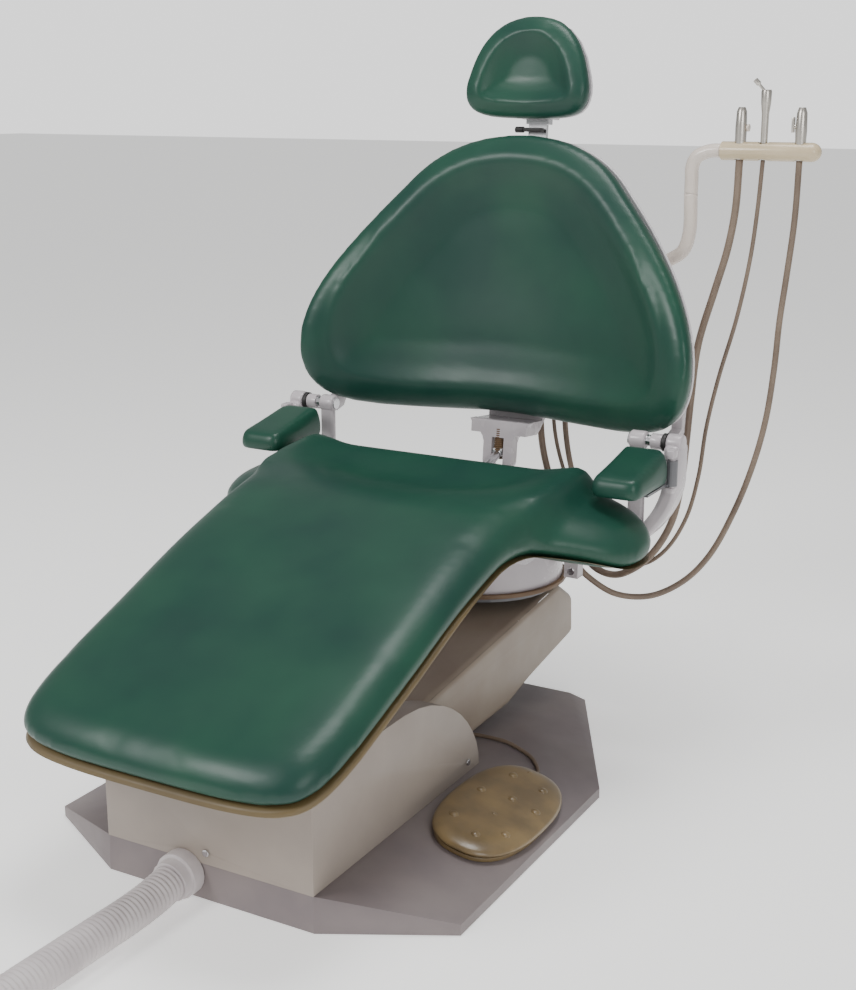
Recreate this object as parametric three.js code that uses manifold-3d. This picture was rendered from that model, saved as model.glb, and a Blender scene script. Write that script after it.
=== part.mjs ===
// Dental patient chair with an assistant's instrument holder.
// Millimetres. +Z up, -Y towards the patient's toes, +X the patient's left.
// The origin is on the underside of the base plate, at the middle of the base.
import * as THREE from 'three';
import { ConvexGeometry } from 'three/addons/geometries/ConvexGeometry.js';
import { mergeVertices } from 'three/addons/utils/BufferGeometryUtils.js';
import Module from 'manifold-3d';

const wasm = await Module();
wasm.setup();

// ---------- driving dimensions ----------
const gap = 0.3; // between pieces that touch
const roundSides = 20;
const shaftGap = 0.35;

// base
const baseFront = -400;
const baseRear = 405;
const baseFrontHalf = 162;
const baseRearHalf = 168;
const baseHalf = 320;
const baseChamfer = 85; // length of the front corner cut
const baseTaper = 293; // length of the rear corner cut
const lipHeight = 15;
const trimTop = 50;
const trimRearTop = 32;
const plateThickness = 10;

// pump cover
const coverHalf = 162;
const coverWall = 5;
const coverTop = 205;
const coverRear = 34;
const cheekWidth = 30;
const slotFront = -205;

// lift linkage
const armPivot = [-240, 118]; // lower pivot, as y and z
const armReach = [640, 42]; // from the lower pivot to the upper pivot
const linkRise = 24;
const armHalf = 120;
const armWall = 4;
const shaftRadius = 11;
const cylinderFoot = [-40, 75];
const cylinderHead = [230, 118];
const liftBarrelRadius = 17;
const liftRodRadius = 8;

// turntable and seat frame
const swivelY = 353;
const drumRadius = 132;
const drumBottom = 225;
const seatPlateTop = 344;
const seatPlateThickness = 14;
const seatPlateHalf = 185;

// seat cushion
const toeY = -524;
const toeHalf = 236;
const toeBottom = 194;
const legSlope = 0.39;
const legThickness = 62;
const hipHalf = 362;
const hipTop = 468;
const seatRear = 256;
const seatBottom = 345;

// backrest
const hubY = 323;
const hubZ = 490;
const hubHalf = 350; // outer face of each side arm
const hubPinRadius = 9;
const hubBoss = 15;
const hubEye = 12;
const spigotRadius = 34;
const lean = 6 * Math.PI / 180;
const backDepth = 86; // from the hub axis back to the middle of the cushion's face
const backCurve = 650;
const backPadThickness = 50;
const backShellThickness = 8;
const backHalf = 349;
const backHeight = 457;

// headrest
const barY = 162;
const barThickness = 8;
const barHalf = 16;
const barTop = backHeight + 23;
const headPivotZ = barTop + 12;
const headFace = 112;
const headHalf = 110;
const headBottom = backHeight + 19;
const headTop = headBottom + 166;
const headCurve = 330;
const headPadThickness = 34;

// arms
const padInner = 268;
const padOuter = 346;
const padBack = 288;
const padLength = 136;
const padTop = 494;
const padNoseTop = 466;
const padBottom = 438;
const armrestPinY = 290;
const armrestPinX = 345;
const knuckleTop = 472;
const bracketThickness = 4;

// assistant's holder
const tubeRadius = 10.5;
const tubeX = 285;
const tubeY = 485;
const tubeJointZ = 845;
const barRadius = 14;
const barZ = 910;
const barStart = 331;
const barEnd = 482;
const instrumentX = { suction: 359, syringe: 395, ejector: 450 };

// foot switch
const switchAt = [245, -70];
const switchHalf = [70, 127];
const switchTilt = Math.atan2(trimTop - lipHeight, baseHalf - baseFrontHalf);

// hoses and cords
const suctionHose = 11.5;
const syringeHose = 6.6;
const ejectorHose = 9.5;
const footCord = 6;
const supplyHose = 48;

// ---------- finishes ----------
const finishes = {
  vinyl: [0x2f5d50, 0.45, 0],
  beige: [0x9f9692, 0.5, 0],
  armBeige: [0x8a8178, 0.5, 0],
  lilac: [0x7b737a, 0.55, 0],
  white: [0xb9b3bc, 0.4, 0],
  cream: [0xcfc5bd, 0.35, 0],
  tan: [0x8c7652, 0.5, 0],
  hose: [0x7c6a5b, 0.6, 0],
  steel: [0x9a9a9c, 0.35, 0.9],
  dark: [0x2a2828, 0.6, 0],
  chrome: [0xc0c0c4, 0.2, 1],
};

const group = new THREE.Group();

function addPart(name, geometry, finish, parent = group) {
  const [color, roughness, metalness] = finishes[finish];
  const mesh = new THREE.Mesh(geometry, new THREE.MeshStandardMaterial({ color, roughness, metalness }));
  mesh.name = name;
  parent.add(mesh);
  return mesh;
}

// ---------- solids ----------
function solid(geometry) {
  const bare = geometry.clone();
  bare.deleteAttribute('normal');
  bare.deleteAttribute('uv');
  const merged = mergeVertices(bare, 1e-3);
  return new wasm.Manifold(new wasm.Mesh({
    numProp: 3,
    vertProperties: new Float32Array(merged.attributes.position.array),
    triVerts: new Uint32Array(merged.index.array),
  }));
}

function surface(body) {
  const mesh = body.getMesh();
  const geometry = new THREE.BufferGeometry();
  geometry.setAttribute('position', new THREE.BufferAttribute(new Float32Array(mesh.vertProperties), 3));
  geometry.setIndex(new THREE.BufferAttribute(new Uint32Array(mesh.triVerts), 1));
  return geometry;
}

function join(...geometries) {
  return surface(geometries.map(solid).reduce((whole, piece) => whole.add(piece)));
}

function cut(geometry, ...tools) {
  return surface(tools.map(solid).reduce((whole, tool) => whole.subtract(tool), solid(geometry)));
}

function common(a, b) {
  return surface(solid(a).intersect(solid(b)));
}

function box(x0, x1, y0, y1, z0, z1) {
  return new THREE.BoxGeometry(x1 - x0, y1 - y0, z1 - z0)
    .translate((x0 + x1) / 2, (y0 + y1) / 2, (z0 + z1) / 2);
}

function rodX(radius, x0, x1, y, z, sides = roundSides) {
  return new THREE.CylinderGeometry(radius, radius, x1 - x0, sides)
    .rotateZ(Math.PI / 2).translate((x0 + x1) / 2, y, z);
}

function rodZ(radius, x, y, z0, z1, sides = roundSides, topRadius = radius) {
  return new THREE.CylinderGeometry(topRadius, radius, z1 - z0, sides)
    .rotateX(Math.PI / 2).translate(x, y, (z0 + z1) / 2);
}

function rodBetween(radius, from, to, sides = roundSides) {
  const start = new THREE.Vector3(...from);
  const along = new THREE.Vector3(...to).sub(start);
  const turn = new THREE.Quaternion().setFromUnitVectors(new THREE.Vector3(0, 1, 0), along.clone().normalize());
  const middle = start.clone().addScaledVector(along, 0.5);
  return new THREE.CylinderGeometry(radius, radius, along.length(), sides)
    .applyQuaternion(turn).translate(middle.x, middle.y, middle.z);
}

function polygon(points) {
  return new THREE.Shape(points.map(([a, b]) => new THREE.Vector2(a, b)));
}

function extrude(shape, depth, curveSegments = 6) {
  return new THREE.ExtrudeGeometry(shape, { depth, bevelEnabled: false, curveSegments });
}

// A side outline, given as y and z, carried along x.
function sideExtrude(shape, x0, x1, curveSegments) {
  const turn = new THREE.Matrix4().makeBasis(
    new THREE.Vector3(0, 1, 0), new THREE.Vector3(0, 0, 1), new THREE.Vector3(1, 0, 0));
  return extrude(shape, x1 - x0, curveSegments).applyMatrix4(turn).translate(x0, 0, 0);
}

// A front outline, given as x and z, carried along y.
function frontExtrude(shape, y0, y1, curveSegments) {
  return extrude(shape, y1 - y0, curveSegments).rotateX(Math.PI / 2).translate(0, y1, 0);
}

// A plan outline, given as x and y, carried along z.
function planExtrude(shape, z0, z1, curveSegments) {
  return extrude(shape, z1 - z0, curveSegments).translate(0, 0, z0);
}

// A closed outline from curves given for the left half only, starting on the middle line.
function symmetric(start, runs) {
  const shape = new THREE.Shape();
  shape.moveTo(...start);
  const mirrored = [];
  let from = start;
  for (const run of runs) {
    shape.bezierCurveTo(...run);
    mirrored.unshift([-run[2], run[3], -run[0], run[1], -from[0], from[1]]);
    from = run.slice(4);
  }
  if (from[0] > 0) {
    shape.lineTo(-from[0], from[1]);
  }
  for (const run of mirrored) {
    shape.bezierCurveTo(...run);
  }
  return shape;
}

function tube(points, diameter, steps, sides = 8) {
  const path = new THREE.CatmullRomCurve3(points.map((p) => new THREE.Vector3(...p)), false, 'centripetal');
  const section = new THREE.Shape().absarc(0, 0, diameter / 2, 0, Math.PI * 2);
  const settings = { steps, curveSegments: sides / 2, extrudePath: path, bevelEnabled: false };
  return new THREE.ExtrudeGeometry(section, settings);
}

// ---------- base ----------
function baseOutline(inset) {
  const points = [
    [baseFrontHalf - inset * 0.4, baseFront + inset],
    [baseHalf - inset, baseFront + baseChamfer + inset * 0.4],
    [baseHalf - inset, baseRear - baseTaper],
    [baseRearHalf - inset * 0.8, baseRear - inset],
  ];
  return [...points, ...points.map(([x, y]) => [-x, y]).reverse()];
}

function rampAt(x) {
  return trimTop - Math.max(0, x - baseFrontHalf) * Math.tan(switchTilt);
}

const gland = [92, 108];

function makeBase() {
  const plateInset = 14;
  const plate = planExtrude(polygon(baseOutline(plateInset)), 0, plateThickness);
  addPart('base_plate', join(plate, armBlock(), cylinderBracket()), 'steel');

  const lip = baseOutline(0);
  const crown = [[baseFrontHalf - 2, baseFront + 1, trimTop], [baseFrontHalf, baseRear - baseTaper, trimTop],
    [baseRearHalf - 18, baseRear - 22, trimRearTop]];
  const corners = [...lip.map(([x, y]) => [x, y, 0]), ...lip.map(([x, y]) => [x, y, lipHeight]),
    ...crown, ...crown.map(([x, y, z]) => [-x, y, z])];
  const ramp = new ConvexGeometry(corners.map((p) => new THREE.Vector3(...p)));
  const plateRoom = planExtrude(polygon(baseOutline(plateInset - 3)), -1, plateThickness + gap);
  const pocketHalf = baseFrontHalf - 22;
  const pocket = box(-pocketHalf, pocketHalf, baseFront + 20, baseRear - baseTaper, plateThickness - 1, 40);
  const wellEnd = coverRear - 30;
  const well = box(-cheekWidth - 60, cheekWidth + 60, slotFront - 100, wellEnd, 20, trimTop + 20);
  const glandHole = rodZ(5, gland[0], gland[1], 20, trimTop + 20, 12);
  addPart('base_trim', cut(ramp, plateRoom, pocket, well, glandHole), 'lilac');
}

function coverProfile(inset) {
  const rear = coverRear - inset;
  const top = coverTop - inset;
  const shape = new THREE.Shape();
  shape.moveTo(baseFront + inset, trimTop + gap);
  shape.lineTo(rear, trimTop + gap);
  shape.bezierCurveTo(rear + 2, 110, rear - 85, top - 4, rear - 212, top);
  shape.lineTo(baseFront + 12 + inset, top);
  shape.lineTo(baseFront + inset, top - 14);
  return shape;
}

const coverScrews = { front: [0, baseFront, 67], left: [-coverHalf, -3, 67], right: [coverHalf, -3, 67] };

function makeCover() {
  const outer = sideExtrude(coverProfile(0), -coverHalf, coverHalf, 10);
  const inside = coverHalf - coverWall;
  const hollow = join(sideExtrude(coverProfile(coverWall), -inside, inside, 10),
    box(-inside, inside, baseFront + coverWall, coverRear - 12, trimTop - 5, trimTop + 8));
  const cheekInner = coverHalf - cheekWidth;
  const cheeks = [-1, 1].map((side) => {
    const faces = [side * cheekInner, side * (cheekInner - coverWall)].sort((a, b) => a - b);
    return common(sideExtrude(coverProfile(1), ...faces, 10),
      box(...faces, slotFront, coverRear + 5, trimTop, coverTop + 5));
  });
  const slotHalf = cheekInner - coverWall;
  const slot = box(-slotHalf, slotHalf, slotFront, coverRear + 20, trimTop - 5, coverTop + 20);
  const shell = join(cut(outer, hollow), ...cheeks);
  const holes = [
    rodBetween(2.5, [0, baseFront - 5, 67], [0, baseFront + 15, 67], 10),
    rodX(2.5, coverHalf - 20, coverHalf + 5, -3, 67, 10),
    rodX(2.5, -coverHalf - 5, -coverHalf + 20, -3, 67, 10),
  ];
  addPart('pump_cover', cut(shell, slot, ...holes), 'beige');
  for (const [name, [x, y, z]] of Object.entries(coverScrews)) {
    const out = name === 'front' ? [0, -1] : [Math.sign(x), 0];
    const at = (d) => [x + out[0] * d, y + out[1] * d, z];
    const screw = join(rodBetween(5, at(gap), at(3), 12), rodBetween(2, at(-9), at(1), 10));
    addPart(`cover_screw_${name}`, screw, 'chrome');
  }
}

function makePump() {
  addPart('pump_motor', rodX(38, -128, 40, -343, 105), 'steel');
  addPart('hydraulic_tank', box(56, 146, -385, -300, trimTop + 3, 168), 'white');
  const shaft = rodX(shaftRadius, -cheekInnerFace() + gap, cheekInnerFace() - gap, ...armPivot);
  addPart('lower_pivot_shaft', shaft, 'steel');
}

// The block that carries the lower pivot, with the level link's pin on top.
function armBlock() {
  const [y, z] = armPivot;
  const block = cut(box(-26, 26, y - 30, y + 20, plateThickness - 1, z + 15),
    rodX(shaftRadius + shaftGap, -40, 40, ...armPivot));
  const cheeks = [-1, 1].map((side) => {
    const faces = [side * 10, side * 18].sort((a, b) => a - b);
    return box(...faces, linkLow[0] - 9, linkLow[0] + 9, z + 14, linkLow[1] + 7);
  });
  return join(block, ...cheeks, rodX(5, -17, 17, ...linkLow, 12));
}

function cylinderBracket() {
  const cheeks = [-1, 1].map((side) => {
    const faces = [side * 12, side * 22].sort((a, b) => a - b);
    return box(...faces, cylinderFoot[0] - 16, cylinderFoot[0] + 16, plateThickness - 1, cylinderFoot[1] + 9);
  });
  return join(...cheeks, rodX(6, -20, 20, ...cylinderFoot, 12));
}

function cheekInnerFace() {
  return coverHalf - cheekWidth - coverWall;
}

// ---------- lift ----------
const upperPivot = [armPivot[0] + armReach[0], armPivot[1] + armReach[1]];
const linkLow = [armPivot[0], armPivot[1] + linkRise];
const linkHigh = [upperPivot[0], upperPivot[1] + linkRise];

function between(a, b, share) {
  return [a[0] + (b[0] - a[0]) * share, a[1] + (b[1] - a[1]) * share];
}

function makeLift() {
  const plateHalf = 20;
  const plates = [-1, 1].map((side) => {
    const faces = [side * 92, side * 100].sort((a, b) => a - b);
    const [y0, z0] = armPivot;
    const [y1, z1] = upperPivot;
    const outline = polygon([[y0 - 18, z0 - plateHalf], [y0 + 30, z0 - 26], [y1 + 5, z1 - plateHalf],
      [y1 + 20, z1], [y1 + 5, z1 + plateHalf], [y0 + 5, z0 + plateHalf], [y0 - 18, z0 + plateHalf]]);
    return sideExtrude(outline, ...faces);
  });
  const tie = (share, rise) => {
    const [y, z] = between(armPivot, upperPivot, share);
    return rodX(9, -95, 95, y, z + rise, 12);
  };
  const lugs = [-1, 1].map((side) => {
    const faces = [side * 24, side * 32].sort((a, b) => a - b);
    return box(...faces, cylinderHead[0] - 12, cylinderHead[0] + 44, cylinderHead[1] - 14, cylinderHead[1] + 26);
  });
  const headTie = rodX(9, -95, 95, cylinderHead[0] + 32, cylinderHead[1] + 16, 12);
  const frame = cut(join(...plates, tie(0.12, 0), headTie, ...lugs, tie(0.9, -6)),
    rodX(shaftRadius + shaftGap, -130, 130, ...armPivot),
    rodX(shaftRadius + shaftGap, -130, 130, ...upperPivot));
  addPart('lift_arm_frame', frame, 'steel');

  const [y0, z0] = armPivot;
  const outline = (inset) => polygon([
    [y0 - 48 + inset, z0 - 33], [y0 - 48 + inset, z0 + 20 - inset], [y0 - 26, z0 + 36 - inset],
    [-30, 166 - inset], [399, 214 - inset], [458 - inset, 177 - inset * 0.5], [462 - inset, 108],
    [291, 80], [219, 63], [80, 60], [y0 + 40, 66]]);
  const inside = armHalf - armWall;
  const hollow = join(sideExtrude(outline(armWall), -inside, inside),
    box(-inside, inside, y0 - 43, 440, 40, 104), box(-34, 34, y0 - 60, y0, 40, z0 + 16));
  const earGap = box(-74, 74, 330, 470, 150, 240);
  const shaftHole = rodX(shaftRadius + shaftGap, -130, 130, ...armPivot);
  const whole = sideExtrude(outline(0), -armHalf, armHalf);
  addPart('lift_arm_cover', cut(whole, hollow, earGap, shaftHole), 'armBeige');

  const link = cut(join(
    sideExtrude(polygon([[linkLow[0], linkLow[1] - 5], [linkHigh[0], linkHigh[1] - 5],
      [linkHigh[0], linkHigh[1] + 5], [linkLow[0], linkLow[1] + 5]]), -7, 7),
    rodX(9, -7, 7, ...linkLow, 16), rodX(9, -7, 7, ...linkHigh, 16)),
    rodX(5.4, -20, 20, ...linkLow, 12), rodX(5.4, -20, 20, ...linkHigh, 12));
  addPart('level_link', link, 'steel');
  const along = new THREE.Vector3(0, cylinderHead[0] - cylinderFoot[0], cylinderHead[1] - cylinderFoot[1]);
  const length = along.length();
  along.normalize();
  const onAxis = (d) => [0, cylinderFoot[0] + along.y * d, cylinderFoot[1] + along.z * d];
  const barrelEnd = length - 62;
  const barrel = cut(rodBetween(liftBarrelRadius, onAxis(22), onAxis(barrelEnd)),
    rodBetween(liftRodRadius + shaftGap, onAxis(length * 0.42), onAxis(length), 16));
  const stub = rodBetween(9, onAxis(10), onAxis(30), 12);
  const eye = cut(join(rodX(15, -10, 10, ...cylinderFoot), stub), rodX(6.4, -20, 20, ...cylinderFoot, 12));
  addPart('lift_cylinder', join(barrel, eye), 'steel');
  const rodStart = length * 0.42 + 3;
  const rod = join(rodBetween(liftRodRadius, onAxis(rodStart), onAxis(length - 4), 16),
    rodX(12, -11, 11, ...cylinderHead, 16));
  addPart('lift_rod', rod, 'chrome');
}

function makeUpper() {
  const earOut = 62;
  const earIn = 50;
  const ears = [-1, 1].map((side) => {
    const faces = [side * earIn, side * earOut].sort((a, b) => a - b);
    const [y, z] = upperPivot;
    return sideExtrude(polygon([[y - 24, 216], [y - 20, z - 6], [y - 8, z - 18], [y + 8, z - 18],
      [y + 20, z - 6], [y + 24, 216]]), ...faces);
  });
  const deckThickness = 8;
  const deck = rodZ(drumRadius - 12, 0, swivelY, drumBottom - deckThickness - 2, drumBottom - 2, 32);
  const linkEars = [-1, 1].map((side) => {
    const faces = [side * 9, side * 17].sort((a, b) => a - b);
    return box(...faces, linkHigh[0] - 11, linkHigh[0] + 11, linkHigh[1] - 10, drumBottom - 4);
  });
  const pin = rodX(5, -16, 16, ...linkHigh, 12);
  const spigot = rodZ(spigotRadius, 0, swivelY, drumBottom - 4, drumBottom + 60);
  const casting = cut(join(deck, ...ears, ...linkEars, pin, spigot),
    rodX(shaftRadius + shaftGap, -130, 130, ...upperPivot));
  addPart('upper_casting', casting, 'steel');
  addPart('upper_pivot_shaft', rodX(shaftRadius, -104, 104, ...upperPivot), 'steel');
}

// ---------- seat ----------
function legBottom(y) {
  return toeBottom + legSlope * (y - toeY);
}

const kneeY = -60;
const notchY = 45;

function makeTurntable() {
  const bore = (spigotRadius + shaftGap) / Math.cos(Math.PI / roundSides);
  const ringTop = seatPlateTop - seatPlateThickness - gap;
  const drum = cut(rodZ(drumRadius, 0, swivelY, drumBottom, ringTop, 40),
    rodZ(bore, 0, swivelY, drumBottom - 5, ringTop + 5));
  const relief = rodZ(drumRadius - 10, 0, swivelY, drumBottom - 5, drumBottom + 6, 32);
  addPart('turntable', cut(drum, relief), 'white');
  const rim = cut(rodZ(drumRadius + 7, 0, swivelY, drumBottom + 1, drumBottom + 8, 40),
    rodZ(drumRadius + gap, 0, swivelY, drumBottom - 5, drumBottom + 15, 40));
  addPart('turntable_rim', rim, 'dark');
}

function seatProfile(rise) {
  const top = (y) => legBottom(y) - rise;
  return polygon([
    [toeY + 46, top(toeY + 46)], [kneeY, top(kneeY)], [notchY, top(kneeY) + 2],
    [140, seatPlateTop + gap * 2 - rise], [seatRear + 90, seatPlateTop + gap * 2 - rise],
    [seatRear + 90, seatPlateTop + gap * 2 - rise - seatPlateThickness],
    [130, seatPlateTop + gap * 2 - rise - seatPlateThickness],
    [notchY, top(kneeY) - seatPlateThickness], [kneeY, top(kneeY) - seatPlateThickness - 2],
    [toeY + 46, top(toeY + 46) - seatPlateThickness + 6],
  ]);
}

const tiltFoot = [60, 306];
const leverPin = [410, 420];
const tiltRadius = 14;

function tiltAxis() {
  const along = new THREE.Vector3(0, leverPin[0] - tiltFoot[0], leverPin[1] - tiltFoot[1]);
  const length = along.length();
  along.normalize();
  return { length, at: (d) => [0, tiltFoot[0] + along.y * d, tiltFoot[1] + along.z * d] };
}

function makeSeatFrame() {
  const plan = new THREE.Shape();
  plan.moveTo(-120, toeY + 60);
  plan.lineTo(120, toeY + 60);
  plan.lineTo(150, kneeY);
  plan.lineTo(seatPlateHalf, 130);
  plan.lineTo(seatPlateHalf, seatRear + 20);
  plan.lineTo(110, seatRear + 80);
  plan.lineTo(-110, seatRear + 80);
  plan.lineTo(-seatPlateHalf, seatRear + 20);
  plan.lineTo(-seatPlateHalf, 130);
  plan.lineTo(-150, kneeY);
  const plate = common(sideExtrude(seatProfile(gap * 2), -200, 200), planExtrude(plan, 100, 500));
  const { length, at } = tiltAxis();
  const tunnel = rodBetween(tiltRadius + 4, at(4), at(length), 12);
  const lugs = [-1, 1].map((side) => {
    const faces = [side * 16, side * 24].sort((a, b) => a - b);
    return box(...faces, tiltFoot[0] - 14, tiltFoot[0] + 14, tiltFoot[1] - 14, 360);
  });
  const pin = rodX(6, -20, 20, ...tiltFoot, 12);
  const clipHole = rodBetween(ejectorHose / 2 + 1.5, [195, 220, 282], [195, 330, 282], 12);
  const clip = cut(box(184, 207, 270, 290, 272, 340), clipHole);
  addPart('seat_frame', join(cut(join(plate, clip), tunnel), ...lugs, pin), 'white');

  const barrelEnd = 195;
  const boreStart = 50;
  const rodStart = barrelEnd - 7;
  const bore = liftRodRadius - 1;
  const eye = cut(rodX(14, -13, 13, ...tiltFoot), rodX(6 + shaftGap, -20, 20, ...tiltFoot, 12));
  const barrel = cut(rodBetween(tiltRadius, at(10), at(barrelEnd)),
    rodBetween(bore + shaftGap, at(boreStart), at(barrelEnd + 10), 16));
  const foot = cut(join(barrel, eye), rodX(6 + shaftGap, -20, 20, ...tiltFoot, 12));
  addPart('tilt_cylinder', foot, 'steel');
  const rod = join(rodBetween(bore, at(rodStart), at(length - 3), 16), rodX(10, -8, 8, ...leverPin, 16));
  addPart('tilt_rod', rod, 'chrome');
}

function seatOutline() {
  const w = toeHalf;
  return symmetric([0, toeY], [
    [100, toeY, 170, toeY, w - 30, toeY + 22],
    [w - 12, toeY + 34, w, toeY + 60, w + 4, toeY + 140],
    [w + 12, toeY + 360, w - 10, -20, w + 22, 50],
    [w + 40, 95, hipHalf - 14, 90, hipHalf - 2, 170],
    [hipHalf + 4, 215, hipHalf - 14, 250, 296, 262],
    [250, 266, 240, seatRear, 196, seatRear],
  ]);
}

function makeSeatPad() {
  const profile = new THREE.Shape();
  const knee = legBottom(kneeY);
  profile.moveTo(toeY + 14, legBottom(toeY + 14));
  profile.lineTo(kneeY, knee);
  profile.lineTo(notchY, knee + 2);
  profile.lineTo(140, seatBottom);
  profile.lineTo(seatRear - 10, seatBottom);
  profile.lineTo(270, seatBottom + 30);
  profile.lineTo(270, hipTop - 30);
  profile.bezierCurveTo(266, hipTop, 240, hipTop, 200, hipTop - 2);
  profile.bezierCurveTo(120, hipTop - 10, notchY, knee + legThickness + 8, kneeY, knee + legThickness - 2);
  profile.lineTo(toeY + 60, legBottom(toeY + 60) + legThickness);
  profile.bezierCurveTo(toeY + 20, toeBottom + legThickness + 2, toeY, toeBottom + 50, toeY, toeBottom + 34);
  profile.bezierCurveTo(toeY, toeBottom + 14, toeY + 4, toeBottom + 3, toeY + 14, legBottom(toeY + 14));
  const { length, at } = tiltAxis();
  const blank = sideExtrude(profile, -hipHalf - 20, hipHalf + 20, 5);
  const pad = common(blank, planExtrude(seatOutline(), 100, 600, 4));
  const tunnel = rodBetween(tiltRadius + 8, at(40), at(length), 10);
  const roomFloor = padBottom - bracketThickness - 6;
  const armrestRoom = polygon([[padInner - 16, padTop + 20], [padInner - 6, roomFloor],
    [hipHalf + 10, roomFloor - 14], [hipHalf + 10, padTop + 20]]);
  const room = frontExtrude(armrestRoom, padBack - padLength - 26, seatRear + 44);
  addPart('seat_pad', cut(pad, tunnel, room, mirror(indexed(room))), 'vinyl');
}

function makeSideArm(side) {
  const name = side > 0 ? 'left' : 'right';
  const depth = [300, 346];
  const thick = 25;
  const outer = new THREE.Shape();
  outer.moveTo(hubHalf, hubZ);
  outer.lineTo(hubHalf, 440);
  outer.bezierCurveTo(hubHalf, 395, 320, 345, 262, 310);
  outer.lineTo(drumRadius + 8, 310);
  outer.lineTo(drumRadius + 8, seatPlateTop - seatPlateThickness - gap * 2);
  outer.lineTo(250, seatPlateTop - seatPlateThickness - gap * 2);
  outer.bezierCurveTo(292, 350, hubHalf - thick, 395, hubHalf - thick, 440);
  outer.lineTo(hubHalf - thick, hubZ);
  const arm = frontExtrude(outer, ...depth, 14);
  const boss = rodX(hubBoss, hubHalf - thick, hubHalf, (depth[0] + depth[1]) / 2, hubZ, 24);
  const uprightX = [265, 292];
  const upright = frontExtrude(polygon([[uprightX[0], 322], [uprightX[1], 322], [uprightX[1], hubZ],
    [uprightX[0], hubZ]]), hubY - 11, hubY + 4);
  const inner = rodX(14, ...uprightX, hubY, hubZ);
  const lug = box(armrestPinX - 8, hubHalf, armrestPinY - 8, depth[0] + 2, knuckleTop + 2, knuckleTop + 17);
  const lowLugTop = padBottom - bracketThickness - 2;
  const pin = rodZ(5, armrestPinX, armrestPinY, lowLugTop - 2, knuckleTop + 4, 12);
  const lowLug = box(armrestPinX - 8, hubHalf, armrestPinY - 8, depth[0] + 2, lowLugTop - 10, lowLugTop);
  const hole = rodX(hubPinRadius + shaftGap, 200, 400, hubY, hubZ);
  const piece = cut(join(arm, boss, upright, inner, lug, pin, lowLug), hole);
  if (side < 0) {
    mirror(piece);
  }
  addPart(`side_arm_${name}`, piece, 'white');
}

// Turns a piece for the left into the matching piece for the right.
function mirror(geometry) {
  geometry.scale(-1, 1, 1);
  const index = geometry.index.array;
  for (let i = 0; i < index.length; i += 3) {
    [index[i], index[i + 1]] = [index[i + 1], index[i]];
  }
  return geometry;
}

function indexed(geometry) {
  return surface(solid(geometry));
}

function makeArmrest(side) {
  const name = side > 0 ? 'left' : 'right';
  const noseY = padBack - padLength;
  const profile = new THREE.Shape();
  profile.moveTo(padBack, padBottom);
  profile.lineTo(padBack, padTop - 4);
  profile.lineTo(padBack - 4, padTop);
  profile.lineTo(noseY + 8, padNoseTop);
  profile.bezierCurveTo(noseY, padNoseTop - 2, noseY, padBottom + 2, noseY + 12, padBottom);
  const plan = new THREE.Shape();
  plan.moveTo(padInner, padBack);
  plan.lineTo(padInner, noseY + 22);
  plan.bezierCurveTo(padInner, noseY + 6, padInner + 8, noseY, padInner + 22, noseY);
  plan.lineTo(padOuter - 22, noseY);
  plan.bezierCurveTo(padOuter - 8, noseY, padOuter, noseY + 6, padOuter, noseY + 22);
  plan.lineTo(padOuter, padBack);
  const knuckleClear = rodZ(11.5, armrestPinX, armrestPinY, 400, 520, 16);
  const lugClear = box(armrestPinX - 10, hubHalf, armrestPinY - 10, 300, 400, 520);
  const pad = cut(common(sideExtrude(profile, padInner - 10, padOuter + 10, 5), planExtrude(plan, 400, 520, 4)),
    knuckleClear, lugClear);
  const bracket = cut(join(box(padInner + 10, padOuter - 6, padBack - 80, padBack - 2,
    padBottom - bracketThickness, padBottom - gap),
    box(padOuter - 20, armrestPinX - 2, padBack - 10, padBack + 1, padBottom - bracketThickness, padBottom - 0.5),
  rodZ(8.5, armrestPinX, armrestPinY, padBottom - bracketThickness, knuckleTop, 16)),
  rodZ(5 + shaftGap, armrestPinX, armrestPinY, 400, 520, 12));
  if (side < 0) {
    mirror(pad);
    mirror(bracket);
  }
  addPart(`armrest_pad_${name}`, pad, 'vinyl');
  addPart(`armrest_bracket_${name}`, bracket, 'steel');
}

// ---------- backrest: modelled upright about the hub axis, then leaned back ----------
const back = new THREE.Group();
back.position.set(0, hubY, hubZ);
back.rotation.x = -lean;
group.add(back);

function backOutline(margin = 0) {
  const w = backHalf + margin;
  const h = backHeight + margin;
  return symmetric([0, 2 - margin], [
    [60, 2 - margin, 120, -4 - margin, w * 0.55, -4 - margin],
    [w * 0.72, -4 - margin, w * 0.8, -margin, w * 0.87, 12 - margin],
    [w * 0.96, 28, w, 60, w, 100],
    [w, 190, w * 0.78, 285, w * 0.56, 368],
    [w * 0.46, 410, w * 0.3, h, 0, h],
  ]);
}

// A curved slab in plan, between two arcs that share a centre in front of the back.
function curvedSlab(face, curve, from, to, z0, z1, halfAngle = 0.62) {
  const shape = new THREE.Shape();
  const centre = face - curve;
  shape.absarc(0, centre, curve + to, Math.PI / 2 - halfAngle, Math.PI / 2 + halfAngle);
  shape.absarc(0, centre, curve + from, Math.PI / 2 + halfAngle, Math.PI / 2 - halfAngle, true);
  return planExtrude(shape, z0, z1, 8);
}

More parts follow.
